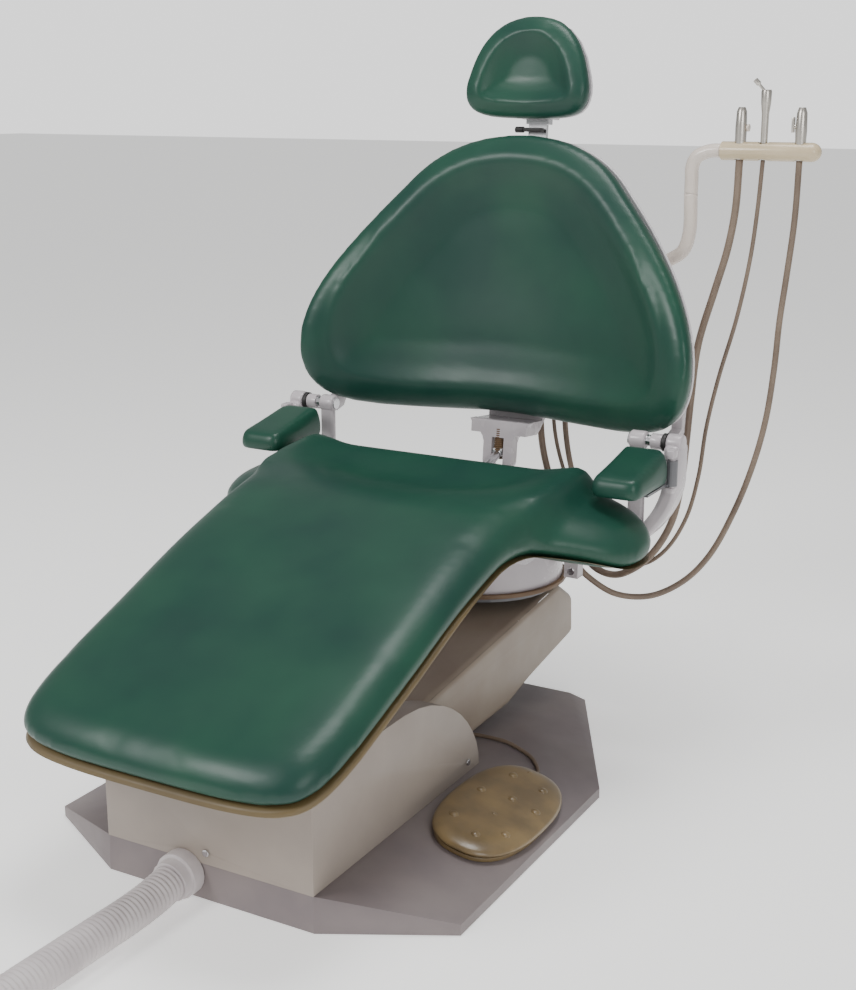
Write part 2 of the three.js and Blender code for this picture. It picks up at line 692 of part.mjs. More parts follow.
function makeBack() {
  const blank = frontExtrude(backOutline(), -120, 260, 5);
  const pad = common(blank, curvedSlab(backDepth, backCurve, 0, backPadThickness, -40, 500));
  addPart('back_pad', pad, 'vinyl', back);
  const shellFrom = backPadThickness + gap;
  const shell = common(frontExtrude(backOutline(-4), -120, 260, 5),
    curvedSlab(backDepth, backCurve, shellFrom, shellFrom + backShellThickness, -40, 500));
  addPart('back_shell', shell, 'white', back);

  const behind = backDepth + shellFrom + backShellThickness + 2;
  const eyes = [-1, 1].map((side) => {
    const faces = [side * 300, side * 317].sort((a, b) => a - b);
    const plate = sideExtrude(polygon([[0, -hubEye], [60, -20], [82, -12], [92, 6], [92, 84], [78, 84], [78, 12],
      [60, 4], [10, 7]]), ...faces);
    return join(plate, rodX(hubEye, ...faces, 0, 0));
  });
  const bandFrom = behind - backDepth;
  const cross = common(curvedSlab(backDepth, backCurve, bandFrom, bandFrom + 14, 54, 84),
    box(-317, 317, 0, 200, 50, 90));
  const waist = 26;
  const low = [-88, -8];
  const spine = symmetric([0, low[0]], [
    [10, low[0], waist, low[0], waist, low[0] + 12],
    [waist, -56, waist, -50, waist, -44],
    [waist + 2, -26, 50, -20, 53, low[1]],
  ]);
  const rear = behind + 16;
  const knee = polygon([[84, -30], [128, -30], [140, -22], [rear, 0], [rear, 84], [behind, 84], [behind, low[1]],
    [84, low[1]]]);
  const stem = join(frontExtrude(spine, 84, 106), sideExtrude(knee, -50, 50), box(-30, 30, behind, rear, 80, 300));
  const leverSlot = box(-11, 11, 60, 200, -120, -36);
  const barRoom = box(-barHalf - 0.6, barHalf + 0.6, 100, 300, 240, 320);
  const frame = cut(join(...eyes, cross, stem), leverSlot, barRoom,
    rodX(hubPinRadius + shaftGap, -400, 400, 0, 0));
  addPart('back_frame', frame, 'white', back);

  for (const side of [-1, 1]) {
    const name = side > 0 ? 'left' : 'right';
    const span = (a, b) => [side * a, side * b].sort((p, q) => p - q);
    addPart(`hub_pin_${name}`, indexed(rodX(hubPinRadius, ...span(263, 349), 0, 0)), 'steel', back);
    const ring = cut(rodX(14, ...span(318, 324.6), 0, 0, 24), rodX(hubPinRadius + shaftGap, -400, 400, 0, 0));
    addPart(`hub_ring_${name}`, ring, 'dark', back);
  }
}

function headOutline(inset) {
  const w = headHalf - inset;
  const low = headBottom + inset;
  const high = headTop - inset;
  return symmetric([0, low], [
    [w * 0.5, low, w * 0.7, low + 2, w * 0.84, low + 10],
    [w, low + 20, w * 1.03, low + 42, w * 0.96, low + 66],
    [w * 0.84, high - 40, w * 0.56, high, 0, high],
  ]);
}

function makeHeadrest() {
  const leverZ = barTop - 16;
  const guide = cut(box(-26, 26, barY - 12, barY + barThickness + 6, 318, 400),
    box(-barHalf - 0.6, barHalf + 0.6, barY - 0.6, barY + barThickness + 0.6, 300, 420));
  addPart('headrest_guide', guide, 'dark', back);
  const bar = join(box(-barHalf, barHalf, barY, barY + barThickness, 302, barTop),
    box(-20, 20, barY - 2, barY + barThickness + 6, barTop - 6, barTop + 26));
  const bore = rodX(5 + shaftGap, -40, 40, barY + 6, headPivotZ, 12);
  addPart('headrest_bar', cut(bar, bore), 'steel', back);

  const pad = common(frontExtrude(headOutline(0), 0, 300, 5),
    curvedSlab(headFace, headCurve, 0, headPadThickness, 400, 700));
  addPart('headrest_pad', pad, 'vinyl', back);
  const shellFrom = headPadThickness + gap;
  const shell = common(frontExtrude(headOutline(5), 0, 300, 5),
    curvedSlab(headFace, headCurve, shellFrom, shellFrom + 6, 400, 700));
  const ears = [-1, 1].map((side) => {
    const faces = [side * 22, side * 30].sort((a, b) => a - b);
    return box(...faces, headFace + shellFrom + 2, barY + 18, headPivotZ - 10, headPivotZ + 34);
  });
  const pin = rodX(5, -26, 26, barY + 6, headPivotZ, 12);
  addPart('headrest_shell', join(shell, ...ears, pin), 'white', back);
  const lever = join(box(-16, 14, barY - 16, barY - 4, leverZ - 3, leverZ + 3),
    rodX(5, -34, -20, barY - 10, leverZ, 12),
    box(-22, -10, barY - 13, barY - 7, leverZ - 3, leverZ + 3));
  addPart('headrest_lever', lever, 'dark', back);
}

// ---------- assistant's holder ----------
function makeHolder() {
  const lower = tube([[118, 497, 676], [170, 492, 698], [222, 487, 726], [256, 485, 743], [276, tubeY, 757],
    [tubeX, tubeY, 784], [tubeX, tubeY, tubeJointZ - gap]], tubeRadius * 2, 26, 12);
  const foot = box(30 + gap, 124, 144.4, 158, 150, 215).rotateX(-lean).translate(0, hubY, hubZ);
  addPart('holder_tube', join(lower, foot), 'cream');
  const upper = tube([[tubeX, tubeY, tubeJointZ], [tubeX, tubeY, 866], [tubeX, tubeY, 884], [tubeX + 6, tubeY, 899],
    [tubeX + 20, tubeY, 907], [barStart - 12, tubeY, barZ], [barStart - 0.5, tubeY, barZ]], tubeRadius * 2, 24, 12);
  addPart('holder_crank', indexed(upper), 'cream');

  const bar = join(rodX(barRadius, barStart + gap, barEnd - barRadius, tubeY, barZ, 20),
    new THREE.SphereGeometry(barRadius, 20, 10).rotateZ(Math.PI / 2).translate(barEnd - barRadius, tubeY, barZ));
  const sockets = Object.values(instrumentX).map((x) => rodZ(8.5, x, tubeY, barZ - 30, barZ + 30, 16));
  addPart('holder_bar', cut(bar, ...sockets), 'cream');

  const profile = (points) => new THREE.LatheGeometry(points.map(([r, z]) => new THREE.Vector2(r, z)), 16)
    .rotateX(Math.PI / 2);
  const suction = profile([[0, -12], [7.5, -12], [8.2, 0], [8.6, 34], [7.4, 58], [5, 64], [0, 64]]);
  addPart('suction_valve', cut(suction.translate(instrumentX.suction, tubeY, barZ),
    rodX(3.3, instrumentX.suction + 2, instrumentX.suction + 30, tubeY, barZ + 34, 12)), 'chrome');
  addPart('suction_knob', join(rodX(3, instrumentX.suction + 2.4, instrumentX.suction + 10, tubeY, barZ + 34, 12),
    rodX(5.5, instrumentX.suction + 9.4, instrumentX.suction + 13, tubeY, barZ + 34, 12)), 'cream');

  const syringe = profile([[0, -12], [5, -12], [5.2, 0], [5.4, 54], [7.4, 70], [7.8, 86], [7, 89], [0, 89]]);
  const buttonHeights = [76, 64];
  const nozzle = rodBetween(2.2, [0, 0, 84], [-15, 0, 100], 10);
  const tip = rodBetween(4, [-12, 0, 97], [-18, 0, 103], 10);
  const seats = buttonHeights.map((z) => rodBetween(2.6, [0, 2.2, z], [0, 14, z], 10));
  addPart('syringe', cut(join(syringe, nozzle, tip), ...seats).translate(instrumentX.syringe, tubeY, barZ), 'chrome');
  buttonHeights.forEach((z, i) => {
    const button = rodBetween(2.2, [0, 4.6, z], [0, 10.5, z], 10);
    addPart(['air_button', 'water_button'][i], indexed(button).translate(instrumentX.syringe, tubeY, barZ), 'dark');
  });

  const ejector = profile([[0, -12], [6.6, -12], [7.4, 0], [8.6, 30], [7.6, 56], [5, 64], [0, 64]]);
  addPart('ejector_valve', cut(ejector.translate(instrumentX.ejector, tubeY, barZ),
    rodX(3.3, instrumentX.ejector - 30, instrumentX.ejector - 2, tubeY, barZ + 36, 12)), 'chrome');
  const lever = join(rodX(3, instrumentX.ejector - 11, instrumentX.ejector - 2.4, tubeY, barZ + 36, 12),
    box(instrumentX.ejector - 14, instrumentX.ejector - 10.6, tubeY - 4, tubeY + 4, barZ + 28, barZ + 50));
  addPart('ejector_lever', lever, 'chrome');
}

// ---------- foot switch ----------
function makeFootSwitch() {
  const stand = new THREE.Group();
  stand.position.set(switchAt[0], switchAt[1], rampAt(switchAt[0]) + gap);
  stand.rotation.y = switchTilt;
  group.add(stand);
  const [a, b] = switchHalf;
  const outline = (inset) => {
    const count = 48;
    const squareness = 0.8; // 1 is an ellipse, less is squarer
    const bend = (value) => Math.sign(value) * Math.abs(value) ** squareness;
    return polygon(Array.from({ length: count }, (_, i) => {
      const angle = i * 2 * Math.PI / count;
      return [(a - inset) * bend(Math.cos(angle)), (b - inset) * bend(Math.sin(angle))];
    }));
  };
  const plateTop = 7;
  const inlet = rodBetween(footCord / 2 + 1, [-6, b - 14, 4.3], [-6, b + 6, 4.3], 12);
  addPart('foot_switch_base', join(planExtrude(outline(4), 0, plateTop), inlet), 'tan', stand);
  const pedal = join(planExtrude(outline(0), plateTop + 3, 17), planExtrude(outline(8), 16, 23));
  addPart('foot_switch_pedal', pedal, 'tan', stand);
}

// ---------- cords, as chosen ----------
const suctionRoute = [[359, 485, 897.5], [357, 484, 823], [349, 480, 763], [334, 475, 701], [316, 462, 617],
  [313, 448, 532], [314, 434, 471], [314, 420, 410], [306, 408, 346], [283, 400, 296], [254, 398, 264],
  [214, 408, 241], [170, 428, 240], [130, 452, 262], [92, 474, 305], [58, 489, 360], [38, 497, 415],
  [30, 502, 470], [30, 504, 520], [30, 507, 600]];
const syringeRoute = [[395, 485, 897.5], [391, 485, 824], [384, 484, 749], [369, 480, 658], [347, 474, 564],
  [334, 466, 485], [330, 452, 410], [318, 438, 344], [292, 428, 292], [258, 428, 262], [216, 438, 252],
  [174, 454, 258], [138, 474, 286], [104, 490, 330], [76, 500, 380], [58, 506, 430], [51, 508, 475],
  [50, 508, 520], [50, 509, 600]];
const ejectorRoute = [[450, 485, 897.5], [449, 483, 812], [444, 475, 725], [440, 468, 663], [438, 461, 588],
  [433, 450, 512], [422, 436, 445], [402, 420, 373], [371, 400, 299], [338, 380, 258], [296, 350, 236],
  [250, 322, 240], [214, 308, 262], [196, 300, 282], [180, 330, 296], [164, 390, 300], [134, 450, 318],
  [104, 486, 360], [84, 500, 410], [74, 506, 460], [72, 507, 520], [72, 508, 600]];
const footRoute = [[240.1, 64.2, 37.4], [238, 75, 37.2], [228, 90, 39], [216, 102, 41.5], [200, 110, 45], [182, 114, 49],
  [166, 115, 52.8], [148, 115, 53.6], [130, 115, 53.6], [112, 113, 53.8], [98, 110, 54.4], [92, 108, 52]];
const supplyRoute = [[-35, -434, 31], [-35, -470, 27], [-36, -510, 25], [-38, -560, 24.8], [-40, -620, 24.8],
  [-42, -680, 24.8], [-43, -740, 24.8], [-44, -800, 24.8]];

function makeCords() {
  addPart('suction_hose', indexed(tube(suctionRoute, suctionHose, 40)), 'hose');
  addPart('syringe_hose', indexed(tube(syringeRoute, syringeHose, 44)), 'hose');
  addPart('ejector_hose', indexed(tube(ejectorRoute, ejectorHose, 46)), 'hose');
  addPart('hose_manifold', box(14, 90, 503, 523, 600.5, 640), 'dark');
  addPart('foot_switch_cord', indexed(tube(footRoute, footCord, 18)), 'hose');
  const collar = join(rodBetween(31, [-35, baseFront - gap, 33], [-35, baseFront - 20, 33], 20),
    rodBetween(27, [-35, baseFront - 10, 33], [-35, baseFront - 33, 31.4], 20));
  const mouth = rodBetween(21, [-35, baseFront + 20, 33], [-35, baseFront - 28, 33], 16);
  addPart('hose_collar', cut(collar, mouth), 'white');
  addPart('supply_hose', indexed(tube(supplyRoute, supplyHose, 6, 12)), 'white');
  const fitting = join(rodBetween(30, [-44, -800.4, 30.2], [-44, -822, 30.2], 20),
    box(-79, -9, -830, -820, 0.2, 62));
  addPart('supply_fitting', fitting, 'white');
}

makeBase();
makeCover();
makePump();
makeLift();
makeUpper();
makeTurntable();
makeSeatFrame();
makeSeatPad();
makeBack();
makeHeadrest();
for (const side of [1, -1]) {
  makeSideArm(side);
  makeArmrest(side);
}
makeHolder();
makeFootSwitch();
makeCords();

export default group;
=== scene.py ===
# A dental patient chair: green vinyl cushions on a lift arm, with an
# assistant's instrument holder, its hoses and a foot switch. Metres, +Z up,
# toes towards -Y, the patient's left towards +X.
import math

import bmesh
import bpy
import numpy as np
from mathutils import Matrix, Vector


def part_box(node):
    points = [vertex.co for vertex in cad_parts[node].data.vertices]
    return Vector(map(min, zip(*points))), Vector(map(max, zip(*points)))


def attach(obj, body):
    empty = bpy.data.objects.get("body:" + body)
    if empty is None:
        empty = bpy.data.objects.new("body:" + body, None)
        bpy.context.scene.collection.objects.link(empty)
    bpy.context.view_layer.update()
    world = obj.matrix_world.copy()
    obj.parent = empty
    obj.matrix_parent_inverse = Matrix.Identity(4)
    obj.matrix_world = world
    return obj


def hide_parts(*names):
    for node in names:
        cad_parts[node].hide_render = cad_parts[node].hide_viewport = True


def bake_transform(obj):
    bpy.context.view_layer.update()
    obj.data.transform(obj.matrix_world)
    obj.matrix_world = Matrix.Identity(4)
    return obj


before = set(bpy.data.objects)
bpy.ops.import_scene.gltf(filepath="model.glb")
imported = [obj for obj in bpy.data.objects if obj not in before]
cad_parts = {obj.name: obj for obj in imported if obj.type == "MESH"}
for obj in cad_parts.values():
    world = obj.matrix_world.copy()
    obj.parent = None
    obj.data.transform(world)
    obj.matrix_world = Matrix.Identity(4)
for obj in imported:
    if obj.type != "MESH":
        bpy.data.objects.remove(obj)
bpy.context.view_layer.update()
print("frame loaded:", len(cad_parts), "nodes")


# camera
view = {"place": (1.0912, -1.7594, 1.000), "azimuth": 29.5, "pitch": -15.1, "lens": 54.73}


def makeCamera():
    data = bpy.data.cameras.new("camera")
    data.lens = view["lens"]
    data.sensor_width = 36
    data.clip_end = 50
    camera = bpy.data.objects.new("camera", data)
    camera.location = view["place"]
    camera.rotation_euler = (math.radians(90 + view["pitch"]), 0, math.radians(view["azimuth"]))
    bpy.context.scene.collection.objects.link(camera)
    bpy.context.scene.camera = camera


makeCamera()


# small tools
def addObject(name, verts, faces, smooth=True):
    mesh = bpy.data.meshes.new(name)
    mesh.from_pydata([tuple(v) for v in verts], [], faces)
    mesh.validate()
    obj = bpy.data.objects.new(name, mesh)
    bpy.context.scene.collection.objects.link(obj)
    if smooth:
        mesh.polygons.foreach_set("use_smooth", [True] * len(mesh.polygons))
    return obj


def copyNode(node, name):
    # a copy of a CAD node with its loose triangles merged
    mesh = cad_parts[node].data.copy()
    bm = bmesh.new()
    bm.from_mesh(mesh)
    bmesh.ops.remove_doubles(bm, verts=bm.verts, dist=1e-5)
    bmesh.ops.dissolve_limit(bm, angle_limit=math.radians(0.6), verts=bm.verts, edges=bm.edges)
    bm.to_mesh(mesh)
    bm.free()
    mesh.materials.clear()
    obj = bpy.data.objects.new(name, mesh)
    bpy.context.scene.collection.objects.link(obj)
    return obj


def applyModifiers(obj):
    # the evaluated mesh becomes the object's own
    bpy.context.view_layer.update()
    graph = bpy.context.evaluated_depsgraph_get()
    mesh = bpy.data.meshes.new_from_object(obj.evaluated_get(graph))
    obj.modifiers.clear()
    obj.data = mesh
    return obj


def softenEdges(obj, width, segments=3, angle=28):
    # rounds the sharp edges, as a mould or a polisher does
    bevel = obj.modifiers.new("edges", "BEVEL")
    bevel.width = width
    bevel.segments = segments
    bevel.limit_method = "ANGLE"
    bevel.angle_limit = math.radians(angle)
    bevel.use_clamp_overlap = True
    applyModifiers(obj)
    smoothByAngle(obj, 40)
    return obj


def smoothByAngle(obj, degrees):
    mesh = obj.data
    mesh.polygons.foreach_set("use_smooth", [True] * len(mesh.polygons))
    bm = bmesh.new()
    bm.from_mesh(mesh)
    limit = math.radians(degrees)
    for edge in bm.edges:
        edge.smooth = not (len(edge.link_faces) == 2 and edge.calc_face_angle(0) > limit)
    bm.to_mesh(mesh)
    bm.free()


def booleanCut(obj, *tools):
    for tool in tools:
        cut = obj.modifiers.new("cut", "BOOLEAN")
        cut.object = tool
        cut.operation = "DIFFERENCE"
        cut.solver = "EXACT"
        applyModifiers(obj)
        bpy.data.objects.remove(tool)
    return obj


def mergeObjects(name, *objs):
    # several shells in one object
    bm = bmesh.new()
    for obj in objs:
        obj.data.transform(obj.matrix_world)
        bm.from_mesh(obj.data)
        bpy.data.objects.remove(obj)
    mesh = bpy.data.meshes.new(name)
    bm.to_mesh(mesh)
    bm.free()
    merged = bpy.data.objects.new(name, mesh)
    bpy.context.scene.collection.objects.link(merged)
    return merged


def leaned(obj):
    # from the backrest's upright frame to its place in the row frame
    obj.data.transform(Matrix.Translation(hub) @ Matrix.Rotation(-lean, 4, "X"))
    obj.data.update()
    return obj


def leanedPoint(p):
    return Matrix.Translation(hub) @ Matrix.Rotation(-lean, 4, "X") @ Vector(p)


def prism(name, outline, plane, low, high):
    # an outline carried straight: plane "yz" goes along x, "xz" along y, "xy" along z
    def place(p, d):
        return {"yz": (d, p[0], p[1]), "xz": (p[0], d, p[1]), "xy": (p[0], p[1], d)}[plane]
    n = len(outline)
    verts = [place(p, low) for p in outline] + [place(p, high) for p in outline]
    faces = [[i, (i + 1) % n, n + (i + 1) % n, n + i] for i in range(n)]
    faces += [list(range(n))[::-1], list(range(n, 2 * n))]
    obj = addObject(name, verts, faces, smooth=False)
    faceOutwards(obj)
    return obj


def rectangle(across, up):
    # four corners from a pair of limits each way
    (a, b), (c, d) = across, up
    return [(a, c), (b, c), (b, d), (a, d)]


def faceOutwards(obj):
    bm = bmesh.new()
    bm.from_mesh(obj.data)
    bmesh.ops.remove_doubles(bm, verts=bm.verts, dist=1e-6)
    bmesh.ops.recalc_face_normals(bm, faces=bm.faces)
    bm.to_mesh(obj.data)
    bm.free()


def bezier(a, b, c, d, steps=12):
    # points along one curve, without its first
    points = []
    for i in range(1, steps + 1):
        t = i / steps
        s = 1 - t
        points.append(tuple(s ** 3 * a[k] + 3 * s * s * t * b[k] + 3 * s * t * t * c[k] + t ** 3 * d[k]
                            for k in range(len(a))))
    return points


def symmetricOutline(start, runs, steps=14):
    # a closed outline from curves given for the left half, as the solids have it
    half = [start]
    for run in runs:
        half += bezier(half[-1], run[0:2], run[2:4], run[4:6], steps)
    other = [(-x, z) for x, z in reversed(half) if abs(x) > 1e-6]
    return half + other


def splinePoints(route, spacing=0.004):
    # a smooth line through the route's points, close enough together to sweep
    points = [Vector(p) for p in route]
    ends = [points[0] * 2 - points[1]] + points + [points[-1] * 2 - points[-2]]
    line = [points[0]]
    for i in range(1, len(ends) - 2):
        p0, p1, p2, p3 = ends[i - 1:i + 3]
        k0, k1, k2 = [max((b - a).length, 1e-6) ** 0.5 for a, b in ((p0, p1), (p1, p2), (p2, p3))]
        m1 = ((p1 - p0) / k0 - (p2 - p0) / (k0 + k1) + (p2 - p1) / k1) * k1
        m2 = ((p2 - p1) / k1 - (p3 - p1) / (k1 + k2) + (p3 - p2) / k2) * k1
        steps = max(2, round((p2 - p1).length / spacing))
        for j in range(1, steps + 1):
            t = j / steps
            line.append((2 * t ** 3 - 3 * t * t + 1) * p1 + (t ** 3 - 2 * t * t + t) * m1
                        + (3 * t * t - 2 * t ** 3) * p2 + (t ** 3 - t * t) * m2)
    return line


def sweep(name, line, radius, sides=16, capped=True):
    # a round tube along a line; radius is a number or a function of the distance along it
    n = len(line)
    distance = [0.0]
    for a, b in zip(line, line[1:]):
        distance.append(distance[-1] + (b - a).length)
    tangents = [(line[min(i + 1, n - 1)] - line[max(i - 1, 0)]).normalized() for i in range(n)]
    side = tangents[0].orthogonal().normalized()
    verts = []
    for i in range(n):
        if i:
            turn = tangents[i - 1].rotation_difference(tangents[i])
            side = turn @ side
            side = (side - tangents[i] * side.dot(tangents[i])).normalized()
        other = tangents[i].cross(side)
        r = radius(distance[i]) if callable(radius) else radius
        for j in range(sides):
            a = 2 * math.pi * j / sides
            verts.append(line[i] + side * (r * math.cos(a)) + other * (r * math.sin(a)))
    faces = []
    for i in range(n - 1):
        for j in range(sides):
            k = (j + 1) % sides
            faces.append([i * sides + j, i * sides + k, (i + 1) * sides + k, (i + 1) * sides + j])
    if capped:
        faces.append(list(range(sides))[::-1])
        faces.append(list(range((n - 1) * sides, n * sides)))
    obj = addObject(name, verts, faces)
    faceOutwards(obj)
    return obj, distance[-1]


def lathe(name, profile, base, axis, sides=40):
    # profile points are (distance from the axis, distance along it); 0 closes an end
    turn = Vector((0, 0, 1)).rotation_difference(Vector(axis).normalized())
    verts, rings, faces = [], [], []
    for r, h in profile:
        count = 1 if r < 1e-7 else sides
        rings.append((len(verts), count))
        for j in range(count):
            a = 2 * math.pi * j / sides
            verts.append(Vector(base) + turn @ Vector((r * math.cos(a), r * math.sin(a), h)))
    for (s0, c0), (s1, c1) in zip(rings, rings[1:]):
        for j in range(sides):
            k = (j + 1) % sides
            if c0 == 1 and c1 == 1:
                continue
            if c0 == 1:
                faces.append([s0, s1 + k, s1 + j])
            elif c1 == 1:
                faces.append([s0 + j, s0 + k, s1])
            else:
                faces.append([s0 + j, s0 + k, s1 + k, s1 + j])
    obj = addObject(name, verts, faces)
    faceOutwards(obj)
    smoothByAngle(obj, 35)
    return obj


# materials
def linear(hexColour):
    value = hexColour.lstrip("#")
    out = []
    for i in (0, 2, 4):
        c = int(value[i:i + 2], 16) / 255
        out.append(c / 12.92 if c <= 0.04045 else ((c + 0.055) / 1.055) ** 2.4)
    return (*out, 1)


def addNode(tree, kind, values=None, links=None, **settings):
    # one node with its settings, input values and incoming links
    node = tree.nodes.new(kind)
    for key, value in settings.items():
        setattr(node, key, value)
    for key, value in (values or {}).items():
        node.inputs[key].default_value = value
    for key, source in (links or {}).items():
        tree.links.new(source, node.inputs[key])
    return node


def newMaterial(name):
    material = bpy.data.materials.new(name)
    material.use_nodes = True
    tree = material.node_tree
    tree.nodes.clear()
    shader = addNode(tree, "ShaderNodeBsdfPrincipled")
    output = addNode(tree, "ShaderNodeOutputMaterial")
    tree.links.new(shader.outputs[0], output.inputs[0])
    place = addNode(tree, "ShaderNodeTexCoord").outputs["Object"]
    return material, tree, shader, place


def colourPair(tree, shader, place, light, dark, size, detail=4.0, low=0.35, high=0.65):
    # slow drift between two close colours, size in metres
    drift = addNode(tree, "ShaderNodeTexNoise", {"Scale": 1 / size, "Detail": detail},
                    {"Vector": place})
    share = addNode(tree, "ShaderNodeMapRange", {"From Min": low, "From Max": high},
                    {"Value": drift.outputs["Fac"]})
    # a Mix node's colour sockets share the names of its float ones, so they go by number
    colour = addNode(tree, "ShaderNodeMix", {6: linear(dark), 7: linear(light)}, {0: share.outputs[0]},
                     data_type="RGBA")
    tree.links.new(colour.outputs[2], shader.inputs["Base Color"])


def varyRoughness(tree, shader, place, low, high, size):
    wear = addNode(tree, "ShaderNodeTexNoise", {"Scale": 1 / size, "Detail": 3.0}, {"Vector": place})
    ends = {"From Min": 0.3, "From Max": 0.7, "To Min": low, "To Max": high}
    rough = addNode(tree, "ShaderNodeMapRange", ends, {"Value": wear.outputs["Fac"]})
    tree.links.new(rough.outputs[0], shader.inputs["Roughness"])


def addBump(tree, shader, height, strength, distance, normal=None):
    links = {"Height": height}
    if normal is not None:
        links["Normal"] = normal
    relief = addNode(tree, "ShaderNodeBump", {"Strength": strength, "Distance": distance}, links)
    tree.links.new(relief.outputs[0], shader.inputs["Normal"])
    return relief.outputs[0]


def vinylMaterial(name, light, dark):
    # expanded vinyl upholstery, calendered with a fine leather grain: soft wide highlights
    material, tree, shader, place = newMaterial(name)
    colourPair(tree, shader, place, light, dark, 0.16, 3.0, 0.3, 0.7)
    grain = addNode(tree, "ShaderNodeTexVoronoi", {"Scale": 1 / 0.0016}, {"Vector": place},
                    feature="SMOOTH_F1")
    rumple = addNode(tree, "ShaderNodeTexNoise", {"Scale": 1 / 0.03, "Detail": 2.0}, {"Vector": place})
    coarse = addBump(tree, shader, rumple.outputs["Fac"], 0.10, 0.0012)
    addBump(tree, shader, grain.outputs["Distance"], 0.16, 0.00025, coarse)
    varyRoughness(tree, shader, place, 0.34, 0.44, 0.09)
    shader.inputs["IOR"].default_value = 1.5
    shader.inputs["Specular IOR Level"].default_value = 0.35
    shader.inputs["Coat Weight"].default_value = 0.06
    shader.inputs["Coat Roughness"].default_value = 0.2
    return material


def mouldedPlastic(name, light, dark, rough, grainSize=0.0009, grain=0.12, drift=0.12, coat=0.0):
    # injection moulded ABS with a spark-eroded texture: an even, slightly soft sheen
    material, tree, shader, place = newMaterial(name)
    colourPair(tree, shader, place, light, dark, drift)
    spark = addNode(tree, "ShaderNodeTexNoise", {"Scale": 1 / grainSize, "Detail": 2.0}, {"Vector": place})
    addBump(tree, shader, spark.outputs["Fac"], grain, 0.0002)
    varyRoughness(tree, shader, place, rough - 0.04, rough + 0.06, 0.05)
    shader.inputs["IOR"].default_value = 1.54
    shader.inputs["Coat Weight"].default_value = coat
    shader.inputs["Coat Roughness"].default_value = 0.15
    return material


def enamel(name, light, dark, rough=0.22, orangePeel=0.06):
    # stoved paint on castings and tube: glossy, with a slight orange peel
    material, tree, shader, place = newMaterial(name)
    colourPair(tree, shader, place, light, dark, 0.1)
    peel = addNode(tree, "ShaderNodeTexNoise", {"Scale": 1 / 0.003, "Detail": 1.0}, {"Vector": place})
    addBump(tree, shader, peel.outputs["Fac"], orangePeel, 0.0003)
    varyRoughness(tree, shader, place, rough, rough + 0.08, 0.04)
    shader.inputs["IOR"].default_value = 1.5
    shader.inputs["Coat Weight"].default_value = 0.3
    shader.inputs["Coat Roughness"].default_value = 0.08
    return material


def brushedMetal(name, colour, rough, along=(1, 1, 14)):
    # turned and polished steel: fine lines round it that spread the highlight
    material, tree, shader, place = newMaterial(name)
    stretched = addNode(tree, "ShaderNodeMapping", {"Scale": along}, {"Vector": place})
    lines = addNode(tree, "ShaderNodeTexNoise", {"Scale": 1 / 0.002, "Detail": 3.0},
                    {"Vector": stretched.outputs[0]})
    addBump(tree, shader, lines.outputs["Fac"], 0.06, 0.0001)
    tone = addNode(tree, "ShaderNodeMapRange", {"To Min": rough - 0.05, "To Max": rough + 0.09},
                   {"Value": lines.outputs["Fac"]})
    tree.links.new(tone.outputs[0], shader.inputs["Roughness"])
    shader.inputs["Base Color"].default_value = linear(colour)
    shader.inputs["Metallic"].default_value = 1.0
    return material


def hoseMaterial(name, light, dark):
    # extruded flexible vinyl tube: satin, a little dusty
    material, tree, shader, place = newMaterial(name)
    colourPair(tree, shader, place, light, dark, 0.05, 5.0)
    skin = addNode(tree, "ShaderNodeTexNoise", {"Scale": 1 / 0.0012, "Detail": 2.0}, {"Vector": place})
    addBump(tree, shader, skin.outputs["Fac"], 0.1, 0.0002)
    varyRoughness(tree, shader, place, 0.42, 0.55, 0.03)
    shader.inputs["IOR"].default_value = 1.5
    return material


looks = {
    "vinyl": vinylMaterial("greenVinyl", "#1E4A39", "#133B32"),
    "cover": mouldedPlastic("coverAbs", "#A0958B", "#968B82", 0.42),
    "arm": mouldedPlastic("armAbs", "#918475", "#87796B", 0.42),
    "base": mouldedPlastic("baseAbs", "#857B7A", "#776D6F", 0.50, 0.0014, 0.22),
    "enamel": enamel("whiteEnamel", "#C4BDC0", "#B7B0B4"),
    "shell": mouldedPlastic("whiteShellAbs", "#D8D4D6", "#CBC7CA", 0.35, 0.0012, 0.1),
    "steel": enamel("greyPaintedSteel", "#6C6C70", "#5F5F63", 0.4),
    "bright": brushedMetal("platedSteel", "#D8D8DA", 0.18),
    "instrument": brushedMetal("satinStainless", "#C9C4BC", 0.28),
    "cream": enamel("creamEnamel", "#DBD0C6", "#CFC4B9", 0.25),
    "creamWarm": enamel("warmCreamEnamel", "#CFBE9F", "#C2B08F", 0.3),
    "dark": mouldedPlastic("darkNylon", "#2C2A2A", "#232121", 0.5),
    "pedal": mouldedPlastic("oliveAbs", "#85704C", "#6C5B40", 0.34, 0.0016, 0.25, 0.05, 0.25),
    "hose": hoseMaterial("taupeHose", "#7F6E5F", "#6B5B4E"),
    # brown conduit colour, also used as painted shade for the dark gap at the turntable's rim
    "brownHoseAndGapShade": hoseMaterial("brownConduitAndGapShade", "#6E5439", "#5A432D"),
    # the seat board's olive brown is painted shadow: it gives the band of shade under the cushion's edge
    "board": mouldedPlastic("seatBoardPaintedShadow", "#6B5A38", "#5C4D30", 0.5),
    "conduit": hoseMaterial("paleConduit", "#CFC8C8", "#BEB6B7"),
}
print("materials made:", len(looks))


def finish(obj, body, look, slot, *nodes):
    # gives a finished piece its material, its body and the CAD nodes it stands for
    obj.data.materials.clear()
    obj.data.materials.append(looks[look])
    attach(obj, body)
    if nodes:
        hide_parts(*nodes)
    return obj


# the chair's own frame
mm = 0.001
hub = Vector((0, 0.323, 0.490))
lean = math.radians(6)


def scaled(points):
    return [tuple(v * mm for v in p) for p in points]


